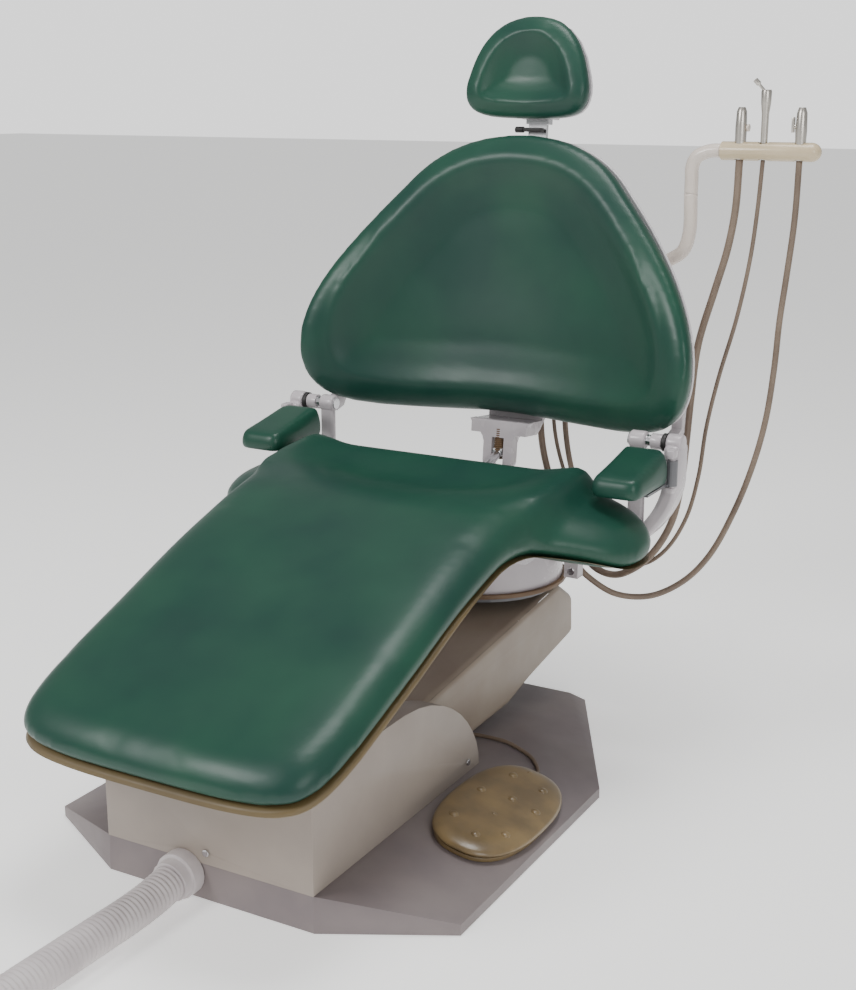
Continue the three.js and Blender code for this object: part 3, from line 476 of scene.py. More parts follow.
# cords and hoses
hoses = {
    "suction": {"node": "suction_hose", "diameter": 0.0115, "route": [
        [359, 485, 897.5], [357, 484, 823], [349, 480, 763], [334, 475, 701], [316, 462, 617],
        [313, 448, 532], [314, 434, 471], [314, 420, 410], [306, 408, 346], [283, 400, 296], [254, 398, 264],
        [214, 408, 241], [170, 428, 240], [130, 452, 262], [92, 474, 305], [58, 489, 360], [38, 497, 415],
        [30, 502, 470], [30, 504, 520], [30, 507, 600]]},
    "syringe": {"node": "syringe_hose", "diameter": 0.0066, "route": [
        [395, 485, 897.5], [391, 485, 824], [384, 484, 749], [369, 480, 658], [347, 474, 564],
        [334, 466, 485], [330, 452, 410], [318, 438, 344], [292, 428, 292], [258, 428, 262], [216, 438, 252],
        [174, 454, 258], [138, 474, 286], [104, 490, 330], [76, 500, 380], [58, 506, 430], [51, 508, 475],
        [50, 508, 520], [50, 509, 600]]},
    "ejector": {"node": "ejector_hose", "diameter": 0.0095, "route": [
        [450, 485, 897.5], [449, 483, 812], [444, 475, 725], [440, 468, 663], [438, 461, 588],
        [433, 450, 512], [422, 436, 445], [402, 420, 373], [371, 400, 299], [338, 380, 258], [296, 350, 236],
        [250, 322, 240], [214, 308, 262], [196, 300, 282], [180, 330, 296], [164, 390, 300], [134, 450, 318],
        [104, 486, 360], [84, 500, 410], [74, 506, 460], [72, 507, 520],
        [72, 508, 600]]},
}
footCord = {"diameter": 0.006, "route": [
    [240.1, 64.2, 37.4], [238, 75, 37.2], [228, 90, 39], [216, 102, 41.5], [200, 110, 45], [182, 114, 49],
    [166, 115, 52.8], [148, 115, 53.6], [130, 115, 53.6], [112, 113, 53.8], [98, 110, 54.4], [92, 108, 52]]}
supply = {"diameter": 0.048, "pitch": 0.0072, "depth": 0.0022, "route": [
    [-35, -434, 31], [-35, -470, 27], [-36, -510, 25], [-38, -560, 24.8], [-40, -620, 24.8],
    [-42, -680, 24.8], [-43, -740, 24.8], [-44, -800, 24.8]]}


def makeHoses():
    for name, hose in hoses.items():
        line = splinePoints(scaled(hose["route"]), 0.005)
        obj, length = sweep(name + "Hose", line, hose["diameter"] / 2, 20)
        obj.data.materials.append(looks["hose"])
        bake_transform(obj)
        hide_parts(hose["node"])
        print(name, "hose", round(length, 3), "m")


def makeFootCord():
    line = splinePoints(scaled(footCord["route"]), 0.003)
    obj, length = sweep("footSwitchCord", line, footCord["diameter"] / 2, 14)
    finish(obj, "base", "hose", "hose_vinyl", "foot_switch_cord")
    print("foot switch cord", round(length, 3), "m")


def makeSupplyHose():
    # corrugated: the wall swells and narrows at every pitch
    line = splinePoints(scaled(supply["route"]), supply["pitch"] / 6)
    radius = supply["diameter"] / 2

    def corrugation(d):
        wave = 0.5 + 0.5 * math.cos(2 * math.pi * d / supply["pitch"])
        return radius - supply["depth"] * (1 - wave ** 0.6)

    obj, length = sweep("supplyHose", line, corrugation, 40)
    finish(obj, "base", "conduit", "conduit_plastic", "supply_hose")
    print("supply hose", round(length, 3), "m")


fitting = {"x": -0.044, "start": -0.8004, "drop": 0.0008, "plate": 0.010, "cuff": [
    (0, 0), (0.022, 0), (0.0275, -0.0008), (0.0295, -0.003), (0.030, -0.010), (0.0285, -0.012),
    (0.030, -0.014), (0.030, -0.0205), (0, -0.0205)]}


def makeSupplyFitting():
    # the cuff on the hose's end and the plate it is fixed to
    low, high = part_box("supply_fitting")
    z = (low.z + high.z) / 2 - fitting["drop"]
    cuff = lathe("supplyCuff", fitting["cuff"], (fitting["x"], fitting["start"], z), (0, 1, 0), 48)
    plate = prism("supplyPlate", rectangle((low.x, high.x), (low.z, high.z)), "xz", low.y,
                  low.y + fitting["plate"])
    softenEdges(plate, 0.003)
    obj = mergeObjects("supplyFitting", cuff, plate)
    finish(obj, "base", "conduit", "conduit_plastic", "supply_fitting")


makeHoses()
makeFootCord()
makeSupplyFitting()
makeSupplyHose()


# cushions
def edgeDistance(points, outline):
    # how far each point is inside a closed outline
    p = np.array(points)[:, None, :]
    a = np.array(outline)[None, :, :]
    b = np.roll(np.array(outline), -1, axis=0)[None, :, :]
    along = b - a
    t = np.clip(((p - a) * along).sum(2) / np.maximum((along ** 2).sum(2), 1e-12), 0, 1)
    return np.sqrt((((a + along * t[:, :, None]) - p) ** 2).sum(2)).min(1)


def rounding(distance, radius):
    q = np.clip(distance / radius, 0, 1)
    return np.sqrt(np.clip(1 - (1 - q) ** 2, 0, 1))


def cushion(name, outline, centre, face, back, place, faceRound, backRound, middle=0.5, rings=40):
    # a closed pad: its outline shrinks towards a centre in rings, and each ring's
    # two faces come from how far it is from the edge
    outline = np.array(outline)
    centre = np.array(centre)
    share = [1 - (i / rings) ** 1.5 for i in range(rings)]
    flat = np.concatenate([centre + (outline - centre) * s for s in share] + [centre[None, :]])
    inside = edgeDistance(flat, outline)
    inside[:len(outline)] = 0
    front, rear = face(flat, inside), back(flat, inside)
    middleLine = rear + (front - rear) * middle
    frontAt = middleLine + (front - middleLine) * rounding(inside, faceRound)
    rearAt = middleLine + (rear - middleLine) * rounding(inside, backRound)
    n = len(outline)
    verts = [place(p, d) for p, d in zip(flat, frontAt)]
    offset = len(verts)
    verts += [place(p, d) for p, d in zip(flat[n:], rearAt[n:])]
    faces = []

    def ringFaces(first, flip):
        for i in range(n):
            k = (i + 1) % n
            for r in range(rings - 1):
                a = first(r)
                b = first(r + 1)
                quad = [a + i, a + k, b + k, b + i]
                faces.append(quad[::-1] if flip else quad)
            last = first(rings - 1)
            tip = first(rings)
            faces.append([last + k, last + i, tip] if flip else [last + i, last + k, tip])

    ringFaces(lambda r: r * n, False)
    ringFaces(lambda r: 0 if r == 0 else offset + (r - 1) * n, True)
    obj = addObject(name, verts, faces)
    faceOutwards(obj)
    return obj


def inflate(obj, voxel, cap, pressure=4.0, frames=20):
    # upholstery over foam: a cloth skin is blown up a little and each point's travel is capped
    remesh = obj.modifiers.new("even", "REMESH")
    remesh.mode = "VOXEL"
    remesh.voxel_size = voxel
    applyModifiers(obj)
    mesh = obj.data
    rest = np.array([v.co for v in mesh.vertices])
    cloth = obj.modifiers.new("cloth", "CLOTH")
    cloth.settings.use_pressure = True
    cloth.settings.uniform_pressure_force = pressure
    cloth.settings.effector_weights.gravity = 0
    cloth.settings.quality = 5
    cloth.point_cache.frame_start = 1
    cloth.point_cache.frame_end = frames
    scene = bpy.context.scene
    for f in range(1, frames + 1):
        scene.frame_set(f)
    graph = bpy.context.evaluated_depsgraph_get()
    moved = np.array([v.co for v in obj.evaluated_get(graph).data.vertices])
    obj.modifiers.clear()
    scene.frame_set(1)
    step = moved - rest
    far = np.linalg.norm(step, axis=1, keepdims=True)
    step *= np.minimum(1, cap / np.maximum(far, 1e-9))
    mesh.vertices.foreach_set("co", (rest + step).ravel())
    mesh.update()
    relax = obj.modifiers.new("relax", "SMOOTH")
    relax.factor = 0.5
    relax.iterations = 6
    smoothSkin = obj.modifiers.new("skin", "SUBSURF")
    smoothSkin.levels = smoothSkin.render_levels = 1
    applyModifiers(obj)
    obj.data.polygons.foreach_set("use_smooth", [True] * len(obj.data.polygons))
    return obj


def smoothLine(value, points):
    # a smooth line through (place, height) points
    xs, ys = np.array(points).T
    value = np.clip(value, xs[0], xs[-1])
    i = np.clip(np.searchsorted(xs, value) - 1, 0, len(xs) - 2)
    slopes = np.gradient(ys, xs)
    h = xs[i + 1] - xs[i]
    t = (value - xs[i]) / h
    return ((2 * t ** 3 - 3 * t ** 2 + 1) * ys[i] + (t ** 3 - 2 * t ** 2 + t) * h * slopes[i]
            + (3 * t ** 2 - 2 * t ** 3) * ys[i + 1] + (t ** 3 - t ** 2) * h * slopes[i + 1])


def bump(value, centre, width):
    return np.exp(-((value - centre) / width) ** 2)


seatPad = {
    "toe": -0.521, "toeHalf": 0.233, "hipHalf": 0.358, "rear": 0.252, "hollow": 0.026, "bolster": 0.010,
    # the board thins over boardFade and ends at boardEnd, and reaches a little into the soft cushion
    "board": 0.008, "overlap": 0.0015, "boardEnd": -0.06, "boardFade": 0.12,
    # heights of the cushion's top and underside, from the toes to the hips
    "topLine": [(-0.56, 0.240), (-0.50, 0.262), (-0.30, 0.340), (-0.10, 0.417), (-0.02, 0.440),
                (0.05, 0.450), (0.16, 0.455), (0.27, 0.462)],
    "underLine": [(-0.56, 0.186), (-0.50, 0.2055), (-0.30, 0.2825), (-0.10, 0.360), (-0.05, 0.376),
                  (0.03, 0.3775), (0.08, 0.366), (0.13, 0.3485), (0.16, 0.3465), (0.27, 0.3465)],
}


def makeSeatPad():
    w, toe, hip, rear = seatPad["toeHalf"], seatPad["toe"], seatPad["hipHalf"], seatPad["rear"]
    outline = symmetricOutline((0, toe), [
        (0.100, toe, 0.170, toe + 0.001, w - 0.036, toe + 0.018),
        (w - 0.010, toe + 0.030, w - 0.002, toe + 0.060, w + 0.002, toe + 0.120),
        (w + 0.010, toe + 0.340, w - 0.002, -0.040, w + 0.014, 0.030),
        (w + 0.034, 0.078, hip - 0.016, 0.074, hip - 0.002, 0.150),
        (hip + 0.004, 0.205, hip - 0.014, 0.242, 0.292, 0.256),
        (0.250, 0.262, 0.236, rear, 0.192, rear)])

    def top(p, inside):
        x, y = np.abs(p[:, 0]), p[:, 1]
        line = smoothLine(y, seatPad["topLine"])
        hollow = seatPad["hollow"] * bump(x, 0, 0.17) * bump(y, 0.135, 0.085)
        side = seatPad["bolster"] * bump(x, 0.235, 0.05) * bump(y, 0.17, 0.12)
        t = np.clip((x - 0.232) / 0.034, 0, 1)
        drop = 0.036 * t * t * (3 - 2 * t) + 0.016 * np.clip((x - 0.266) / 0.09, 0, 1)
        dish = 0.006 * bump(x, 0, 0.12) * bump(y, -0.25, 0.2)
        crown = 0.010 * (1 - rounding(inside, 0.11))
        return line - hollow + side - drop - dish - crown

    def under(p, inside):
        return smoothLine(p[:, 1], seatPad["underLine"])

    def boardShare(p, least):
        return np.clip((seatPad["boardEnd"] - p[:, 1]) / seatPad["boardFade"], least, 1)

    def raised(p, inside):
        # the cushion sits on its board along the legs
        return under(p, inside) + seatPad["board"] * boardShare(p, 0)

    def boardTop(p, inside):
        return under(p, inside) + (seatPad["board"] + seatPad["overlap"]) * boardShare(p, 0.05)

    # a board under the cushion, showing as an olive band below its edge; that olive colour is painted shadow
    boardOutline = [(x * 0.985, y + 0.004 * (y < -0.3)) for x, y in outline]
    board = cushion("seatBoard", boardOutline, (0, 0.0), boardTop, under, lambda p, d: (p[0], p[1], d),
                    0.003, 0.003, 0.5, 24)
    finish(board, "seat", "board", "upholstery")
    pad = cushion("seatCushion", outline, (0, 0.0), top, raised, lambda p, d: (p[0], p[1], d),
                  0.040, 0.022, 0.42, 56)
    inflate(pad, 0.006, 0.0035)
    finish(pad, "seat", "vinyl", "upholstery", "seat_pad")


backPad = {"half": 0.347, "height": 0.455, "face": 0.088, "curve": 0.650, "dish": 0.010, "rim": 0.007,
           "rear": 0.086, "padDepth": 0.0495, "shellFront": 0.0507, "shellRear": 0.0580, "shellInset": 0.0045,
           "middle": (0, 0.19)}


def backOutline(margin=0.0):
    w, h, m = backPad["half"] + margin, backPad["height"] + margin, margin
    return symmetricOutline((0, 0.002 - m), [
        (0.060, 0.002 - m, 0.120, -0.004 - m, w * 0.55, -0.004 - m),
        (w * 0.72, -0.004 - m, w * 0.80, -m, w * 0.87, 0.012 - m),
        (w * 0.96, 0.028, w, 0.060, w, 0.100),
        (w, 0.190, w * 0.78, 0.285, w * 0.56, 0.368),
        (w * 0.46, 0.410, w * 0.30, h, 0, h)])


def curvedFace(x, depth, curve):
    # hollow from side to side: its edges come forward
    return depth - curve + np.sqrt(curve ** 2 - x ** 2)


def makeBackPad():
    outline = backOutline()

    def front(p, inside):
        face = curvedFace(p[:, 0], backPad["face"], backPad["curve"])
        rim = backPad["rim"] * bump(inside, 0.040, 0.022)
        dish = backPad["dish"] * np.clip((inside - 0.045) / 0.07, 0, 1) ** 1.3
        lumbar = 0.012 * bump(p[:, 1], 0.11, 0.08) * bump(p[:, 0], 0, 0.16)
        return face - rim + dish - lumbar * 0.6

    def rear(p, inside):
        return curvedFace(p[:, 0], backPad["rear"], backPad["curve"]) + backPad["padDepth"]

    pad = cushion("backCushion", outline, backPad["middle"], front, rear,
                  lambda p, d: (p[0], d, p[1]), 0.026, 0.012, 0.62, 48)
    leaned(pad)
    inflate(pad, 0.006, 0.0025)
    finish(pad, "backrest", "vinyl", "upholstery", "back_pad")


def makeBackShell():
    # a pressed shell that follows the cushion's back, with a thin lip round its edge
    outline = backOutline(-backPad["shellInset"])

    def front(p, inside):
        face = curvedFace(p[:, 0], backPad["rear"], backPad["curve"])
        return face + backPad["shellFront"] - 0.006 * (1 - rounding(inside, 0.006))

    def rear(p, inside):
        return curvedFace(p[:, 0], backPad["rear"], backPad["curve"]) + backPad["shellRear"]

    shell = cushion("backShell", outline, backPad["middle"], front, rear,
                    lambda p, d: (p[0], d, p[1]), 0.003, 0.007, 0.3, 40)
    leaned(shell)
    finish(shell, "backrest", "shell", "white_shell", "back_shell")


headrest = {"half": 0.108, "low": 0.478, "high": 0.640, "face": 0.113, "curve": 0.330, "dish": 0.008,
            "rim": 0.004, "rear": 0.112, "padDepth": 0.0338, "middle": (0, 0.555)}


def headOutline():
    w, low, high = headrest["half"], headrest["low"], headrest["high"]
    return symmetricOutline((0, low), [
        (w * 0.50, low, w * 0.70, low + 0.002, w * 0.84, low + 0.010),
        (w, low + 0.020, w * 1.03, low + 0.042, w * 0.96, low + 0.066),
        (w * 0.84, high - 0.040, w * 0.56, high, 0, high)], 18)


def makeHeadrest():
    def front(p, inside):
        face = curvedFace(p[:, 0], headrest["face"], headrest["curve"])
        rim = headrest["rim"] * bump(inside, 0.024, 0.012)
        dish = headrest["dish"] * np.clip((inside - 0.026) / 0.035, 0, 1) ** 1.2
        return face - rim + dish

    def rear(p, inside):
        return curvedFace(p[:, 0], headrest["rear"], headrest["curve"]) + headrest["padDepth"]

    pad = cushion("headCushion", headOutline(), headrest["middle"], front, rear,
                  lambda p, d: (p[0], d, p[1]), 0.018, 0.010, 0.6, 36)
    leaned(pad)
    inflate(pad, 0.004, 0.0018)
    finish(pad, "headrest", "vinyl", "upholstery", "headrest_pad")


armrest = {"inner": 0.269, "outer": 0.345, "back": 0.287, "nose": 0.154, "corner": 0.022,
           "low": 0.4385, "highBack": 0.492, "highNose": 0.466}


def makeArmrest(side):
    name = "left" if side > 0 else "right"
    a = armrest
    r = a["corner"]
    outline = [(a["inner"], a["back"] - 0.004)]
    outline += [(a["inner"], a["nose"] + r)]
    outline += bezier(outline[-1], (a["inner"], a["nose"] + 0.005), (a["inner"] + 0.007, a["nose"]),
                      (a["inner"] + r, a["nose"]), 8)
    outline += [(a["outer"] - r, a["nose"])]
    outline += bezier(outline[-1], (a["outer"] - 0.007, a["nose"]), (a["outer"], a["nose"] + 0.005),
                      (a["outer"], a["nose"] + r), 8)
    outline += [(a["outer"], 0.272), (a["outer"] - 0.006, 0.278), (a["outer"] - 0.010, a["back"] - 0.004),
                (a["outer"] - 0.014, a["back"]), (a["inner"] + 0.004, a["back"])]
    dense = []
    for p, q in zip(outline, outline[1:] + outline[:1]):
        count = max(1, round(math.dist(p, q) / 0.004))
        dense += [(p[0] + (q[0] - p[0]) * i / count, p[1] + (q[1] - p[1]) * i / count) for i in range(count)]

    def top(p, inside):
        t = np.clip((p[:, 1] - a["nose"]) / (a["back"] - a["nose"]), 0, 1)
        return a["highNose"] + (a["highBack"] - a["highNose"]) * t - 0.002 * (1 - rounding(inside, 0.03))

    def under(p, inside):
        return np.full(len(p), a["low"] + 0.0002)

    centre = ((a["inner"] + a["outer"]) / 2, (a["nose"] + a["back"]) / 2)
    pad = cushion(name + "ArmCushion", dense, centre, top, under, lambda p, d: (p[0], p[1], d),
                  0.009, 0.005, 0.35, 22)
    if side < 0:
        pad.data.transform(Matrix.Scale(-1, 4, (1, 0, 0)))
        faceOutwards(pad)
    inflate(pad, 0.0025, 0.0008, 3.0, 10)
    finish(pad, "armrest_" + name, "vinyl", "upholstery", "armrest_pad_" + name)


makeSeatPad()
print("seat cushion made")
makeBackPad()
makeBackShell()
makeHeadrest()
for armSide in (1, -1):
    makeArmrest(armSide)
print("cushions made")


# the CAD nodes that stay
nodeLooks = {
    "base_plate": "steel", "pump_motor": "steel", "hydraulic_tank": "shell", "lower_pivot_shaft": "bright",
    "lift_arm_frame": "steel", "level_link": "steel", "lift_cylinder": "steel", "lift_rod": "bright",
    "upper_casting": "steel", "upper_pivot_shaft": "bright", "seat_frame": "enamel", "tilt_cylinder": "steel",
    "tilt_rod": "bright", "hub_pin_left": "bright", "hub_pin_right": "bright", "headrest_guide": "dark",
    "hose_manifold": "dark", "air_button": "dark", "water_button": "dark", "armrest_bracket_left": "steel",
    "armrest_bracket_right": "steel", "headrest_shell": "shell", "headrest_bar": "bright",
}
for nodeName, look in nodeLooks.items():
    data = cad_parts[nodeName].data
    data.materials.clear()
    data.materials.append(looks[look])

# pieces that keep the CAD shape, with their edges rounded
roundedNodes = [
    ("base_trim", "base", "base", "base_plastic", 0.007),
    ("pump_cover", "base", "cover", "cover_plastic", 0.005),
    ("turntable", "seat", "enamel", "white_enamel", 0.004),
    # the turntable's rim is coloured dark brown as painted shade: it stands for the shadowed gap under the
    # upper structure
    ("turntable_rim", "seat", "brownHoseAndGapShade", "dark_plastic", 0.001),
    ("back_frame", "backrest", "enamel", "white_enamel", 0.005),
    ("hub_ring_left", "backrest", "dark", "dark_plastic", 0.001),
    ("hub_ring_right", "backrest", "dark", "dark_plastic", 0.001),
    ("headrest_lever", "headrest_lock", "dark", "dark_plastic", 0.001),
    ("holder_bar", "holder", "creamWarm", "cream_enamel", 0.001),
    ("suction_valve", "holder", "instrument", "instrument_steel", 0.0008),
    ("syringe", "holder", "instrument", "instrument_steel", 0.0006),
    ("ejector_valve", "holder", "instrument", "instrument_steel", 0.0008),
    ("suction_knob", "suction_knob", "cream", "cream_enamel", 0.0006),
    ("ejector_lever", "ejector_lever", "instrument", "instrument_steel", 0.0006),
    ("hose_collar", "base", "conduit", "conduit_plastic", 0.001),
    ("cover_screw_front", "base", "bright", "bright_steel", 0.0006),
    ("cover_screw_left", "base", "bright", "bright_steel", 0.0006),
    ("cover_screw_right", "base", "bright", "bright_steel", 0.0006),
]
for nodeName, bodyName, look, slotName, width in roundedNodes:
    piece = copyNode(nodeName, nodeName + "Finished")
    softenEdges(piece, width)
    finish(piece, bodyName, look, slotName, nodeName)
print("shells and castings made")


# repeated pieces
def makeRepeatTree():
    # instances of one piece on every point, by the point's own "turn" and "size"
    tree = bpy.data.node_groups.new("repeatPiece", "GeometryNodeTree")
    face = tree.interface
    face.new_socket("Points", in_out="INPUT", socket_type="NodeSocketGeometry")
    piece = face.new_socket("Piece", in_out="INPUT", socket_type="NodeSocketObject")
    look = face.new_socket("Look", in_out="INPUT", socket_type="NodeSocketMaterial")
    face.new_socket("Pieces", in_out="OUTPUT", socket_type="NodeSocketGeometry")
    given = addNode(tree, "NodeGroupInput")
    model = addNode(tree, "GeometryNodeObjectInfo", None, {"Object": given.outputs["Piece"]})
    turn = addNode(tree, "GeometryNodeInputNamedAttribute", {"Name": "turn"}, data_type="FLOAT_VECTOR")
    size = addNode(tree, "GeometryNodeInputNamedAttribute", {"Name": "size"}, data_type="FLOAT")
    rotation = addNode(tree, "FunctionNodeEulerToRotation", None, {"Euler": turn.outputs["Attribute"]})
    placed = addNode(tree, "GeometryNodeInstanceOnPoints", None, {
        "Points": given.outputs["Points"], "Instance": model.outputs["Geometry"],
        "Rotation": rotation.outputs[0], "Scale": size.outputs["Attribute"]})
    real = addNode(tree, "GeometryNodeRealizeInstances", None, {"Geometry": placed.outputs[0]})
    painted = addNode(tree, "GeometryNodeSetMaterial", None,
                      {"Geometry": real.outputs[0], "Material": given.outputs["Look"]})
    addNode(tree, "NodeGroupOutput", None, {"Pieces": painted.outputs[0]})
    return tree, piece.identifier, look.identifier


repeatTree, pieceInput, lookInput = makeRepeatTree()


def repeatPiece(name, piece, places, look):
    # places are (point, turn as Euler angles, size)
    obj = addObject(name, [p for p, _, _ in places], [], smooth=False)
    turns = obj.data.attributes.new("turn", "FLOAT_VECTOR", "POINT")
    turns.data.foreach_set("vector", [v for _, t, _ in places for v in t])
    sizes = obj.data.attributes.new("size", "FLOAT", "POINT")
    sizes.data.foreach_set("value", [v for _, _, v in places])
    nodes = obj.modifiers.new("repeat", "NODES")
    nodes.node_group = repeatTree
    nodes[pieceInput] = piece
    nodes[lookInput] = looks[look]
    applyModifiers(obj)
    bpy.data.objects.remove(piece)
    obj.data.polygons.foreach_set("use_smooth", [True] * len(obj.data.polygons))
    return obj


# castings, covers and tubes made afresh
def roundRod(name, radius, start, end, edge=0.002):
    # a rod between two points with its end edges rounded
    axis = Vector(end) - Vector(start)
    length = axis.length
    arc = [(radius - edge + edge * math.sin(a), edge - edge * math.cos(a))
           for a in np.linspace(0, math.pi / 2, 6)]
    profile = [(0, 0)] + arc + [(r, length - h) for r, h in reversed(arc)] + [(0, length)]
    return lathe(name, profile, start, axis, 40)


sideArm = {
    "outer": 0.350, "inner": 0.325, "foot": 0.142, "footLow": 0.3101, "footTop": 0.3294, "shoulder": 0.440,
    "head": 0.490, "deep": (0.3005, 0.3455), "edge": 0.009, "bossRadius": 0.0148, "eyeRadius": 0.0138,
    "uprightAcross": (0.2655, 0.2915), "uprightDeep": (0.3145, 0.3265), "uprightLow": 0.3225,
    "lugAcross": (0.3375, 0.3495), "lugDeep": (0.2825, 0.3015), "lugs": [(0.4745, 0.014), (0.4225, 0.009)],
    "pinRadius": 0.0048, "pinPlace": (0.345, 0.290), "pinHeights": (0.431, 0.4755),
}


def makeSideArm(side):
    # a bent arm with a boss and an upright at the hub, and the armrest's lugs and pin
    name = "left" if side > 0 else "right"
    a = sideArm
    outer, inner, low, top = a["outer"], a["inner"], a["footLow"], a["footTop"]
    outline = [(outer, a["head"]), (outer, a["shoulder"])]
    outline += bezier((outer, a["shoulder"]), (outer, 0.395), (0.320, 0.345), (0.262, low), 26)
    outline += [(a["foot"], low), (a["foot"], top), (0.250, top)]
    outline += bezier((0.250, top), (0.292, 0.350), (inner, 0.395), (inner, a["shoulder"]), 26)
    outline += [(inner, a["head"])]
    arm = prism("arm", outline, "xz", *a["deep"])
    softenEdges(arm, a["edge"], 5)
    boss = roundRod("boss", a["bossRadius"], (inner, hub.y, hub.z), (outer - 0.0003, hub.y, hub.z), 0.004)
    upright = prism("upright", rectangle(a["uprightAcross"], a["uprightDeep"]), "xy", a["uprightLow"], hub.z)
    softenEdges(upright, 0.0055, 4)
    near, far = a["uprightAcross"]
    eye = roundRod("eye", a["eyeRadius"], (near, hub.y, hub.z), (far, hub.y, hub.z), 0.004)
    lugs = [prism("lug", rectangle(a["lugAcross"], a["lugDeep"]), "xy", z, z + h) for z, h in a["lugs"]]
    for lug in lugs:
        softenEdges(lug, 0.002)
    start, end = [(*a["pinPlace"], z) for z in a["pinHeights"]]
    pin = roundRod("pin", a["pinRadius"], start, end, 0.001)
    whole = mergeObjects("sideArm" + name, arm, boss, upright, eye, *lugs, pin)
    if side < 0:
        whole.data.transform(Matrix.Scale(-1, 4, (1, 0, 0)))
        faceOutwards(whole)
    finish(whole, "seat", "enamel", "white_enamel", "side_arm_" + name)


# each opening is its limits along the arm and in height, and its half width
armCover = {"rear": -0.288, "half": 0.120, "wall": 0.004, "gap": 0.0003, "edge": 0.013,
            "below": ((-0.283, 0.440), (0.040, 0.104)),
            "mouth": ((-0.300, -0.240), (0.040, 0.134)), "mouthHalf": 0.034,
            "ears": ((0.330, 0.470), (0.150, 0.240)), "earsHalf": 0.074,
            "shaftRadius": 0.01135, "shaftPlace": (-0.240, 0.118), "shaftHalf": 0.130}


def makeArmCover():
    # one moulding with broad rounded shoulders, open underneath and between the ears
    c = armCover
    half, wall, gap = c["half"], c["wall"], c["gap"]

    def outline(inset):
        return [(c["rear"] + inset, 0.085), (c["rear"] + inset, 0.138 - inset), (-0.266, 0.154 - inset),
                (-0.030, 0.166 - inset), (0.399, 0.214 - inset), (0.458 - inset, 0.177 - inset / 2),
                (0.462 - inset, 0.108), (0.291, 0.080), (0.219, 0.063), (0.080, 0.060), (-0.200, 0.066)]

    cover = prism("liftArmCover", outline(gap), "yz", gap - half, half - gap)
    softenEdges(cover, c["edge"], 6)
    inside = prism("inside", outline(wall), "yz", wall - half, half - wall)
    below = prism("below", rectangle(*c["below"]), "yz", wall - half, half - wall)
    mouth = prism("mouth", rectangle(*c["mouth"]), "yz", -c["mouthHalf"], c["mouthHalf"])
    ears = prism("ears", rectangle(*c["ears"]), "yz", -c["earsHalf"], c["earsHalf"])
    shaft = roundRod("shaft", c["shaftRadius"], (-c["shaftHalf"], *c["shaftPlace"]),
                     (c["shaftHalf"], *c["shaftPlace"]))
    booleanCut(cover, inside, below, mouth, ears, shaft)
    smoothByAngle(cover, 35)
    finish(cover, "lift_arm", "arm", "arm_plastic", "lift_arm_cover")


holderTube = {"radius": 0.0105, "foot": ((0.0303, 0.124), (0.1444, 0.158)), "footHeights": (0.150, 0.215),
              "lower": [[118, 497, 676], [170, 492, 698], [222, 487, 726], [256, 485, 743],
                        [276, 485, 757], [285, 485, 784], [285, 485, 844.7]],
              "upper": [[285, 485, 845], [285, 485, 866], [285, 485, 884], [291, 485, 899],
                        [305, 485, 907], [319, 485, 910], [330.5, 485, 910]]}


def makeHolderTubes():
    # the bent tube that carries the instrument holder, its foot and the crank above it
    lower = splinePoints(scaled(holderTube["lower"]), 0.003)
    tubePart, _ = sweep("lowerTube", lower, holderTube["radius"], 28)
    foot = prism("foot", rectangle(*holderTube["foot"]), "xy", *holderTube["footHeights"])
    softenEdges(foot, 0.004)
    leaned(foot)
    finish(mergeObjects("holderTube", tubePart, foot), "backrest", "cream", "cream_enamel", "holder_tube")
    upper = splinePoints(scaled(holderTube["upper"]), 0.003)
    crank, _ = sweep("holderCrank", upper, holderTube["radius"], 28)
    finish(crank, "backrest", "cream", "cream_enamel", "holder_crank")


conduit = {"radius": 0.0072, "behind": 0.0925, "heights": (-0.072, -0.046, -0.020), "ribs": 15,
           "firstRib": -0.070, "pitch": 0.0034,
           "rib": [(0.0068, -0.0014), (0.0090, -0.0009), (0.0092, 0), (0.0090, 0.0009), (0.0068, 0.0014)]}


def makeConduit():
    # ribbed conduit that lies in the back casting's groove, its ribs repeated along it
    line = [leanedPoint((0, conduit["behind"], z)) for z in conduit["heights"]]
    core, _ = sweep("conduitCore", line, conduit["radius"], 24)
    rib = lathe("rib", conduit["rib"], (0, 0, 0), (0, 0, 1), 28)
    places = []
    for i in range(conduit["ribs"]):
        point = leanedPoint((0, conduit["behind"], conduit["firstRib"] + i * conduit["pitch"]))
        places.append((point, (-lean, 0, 0), 1))
    ribs = repeatPiece("conduitRibs", rib, places, "brownHoseAndGapShade")
    ribs.data.materials.clear()
    finish(mergeObjects("backConduit", core, ribs), "backrest", "brownHoseAndGapShade", "dark_plastic")


# place and rampTop are in the chair's frame, the rest in the switch's own; a dome is its place and size
footSwitch = {
    "place": (0.245, -0.070), "half": (0.070, 0.127), "squareness": 0.8, "lean": math.atan2(35, 158),
    "rampTop": (0.162, 0.0503), "rim": 0.0115, "crown": 0.0110, "shoulder": 0.034,
    "plateInset": 0.0042, "plateHeights": (0.0002, 0.0068), "lensInset": 0.0004, "lensUnder": 0.0102,
    "inletRadius": 0.004, "inletStart": (-0.006, 0.113, 0.0043), "inletEnd": (-0.006, 0.133, 0.0043),
    "dome": [(0, 0.0036), (0.0022, 0.0034), (0.0045, 0.0027), (0.0062, 0.0014), (0.0070, 0),
             (0.0070, -0.002), (0, -0.002)],
    "domeSunk": 0.0006,
    "domes": [(-0.034, -0.072, 1), (0.010, -0.092, 1), (0.040, -0.062, 1), (-0.036, 0.010, 1),
              (0.008, 0.022, 1), (0.046, 0.018, 1), (-0.020, 0.078, 1), (0.030, 0.074, 1),
              (0.006, -0.030, 0.6), (-0.006, 0.104, 0.6)],
}


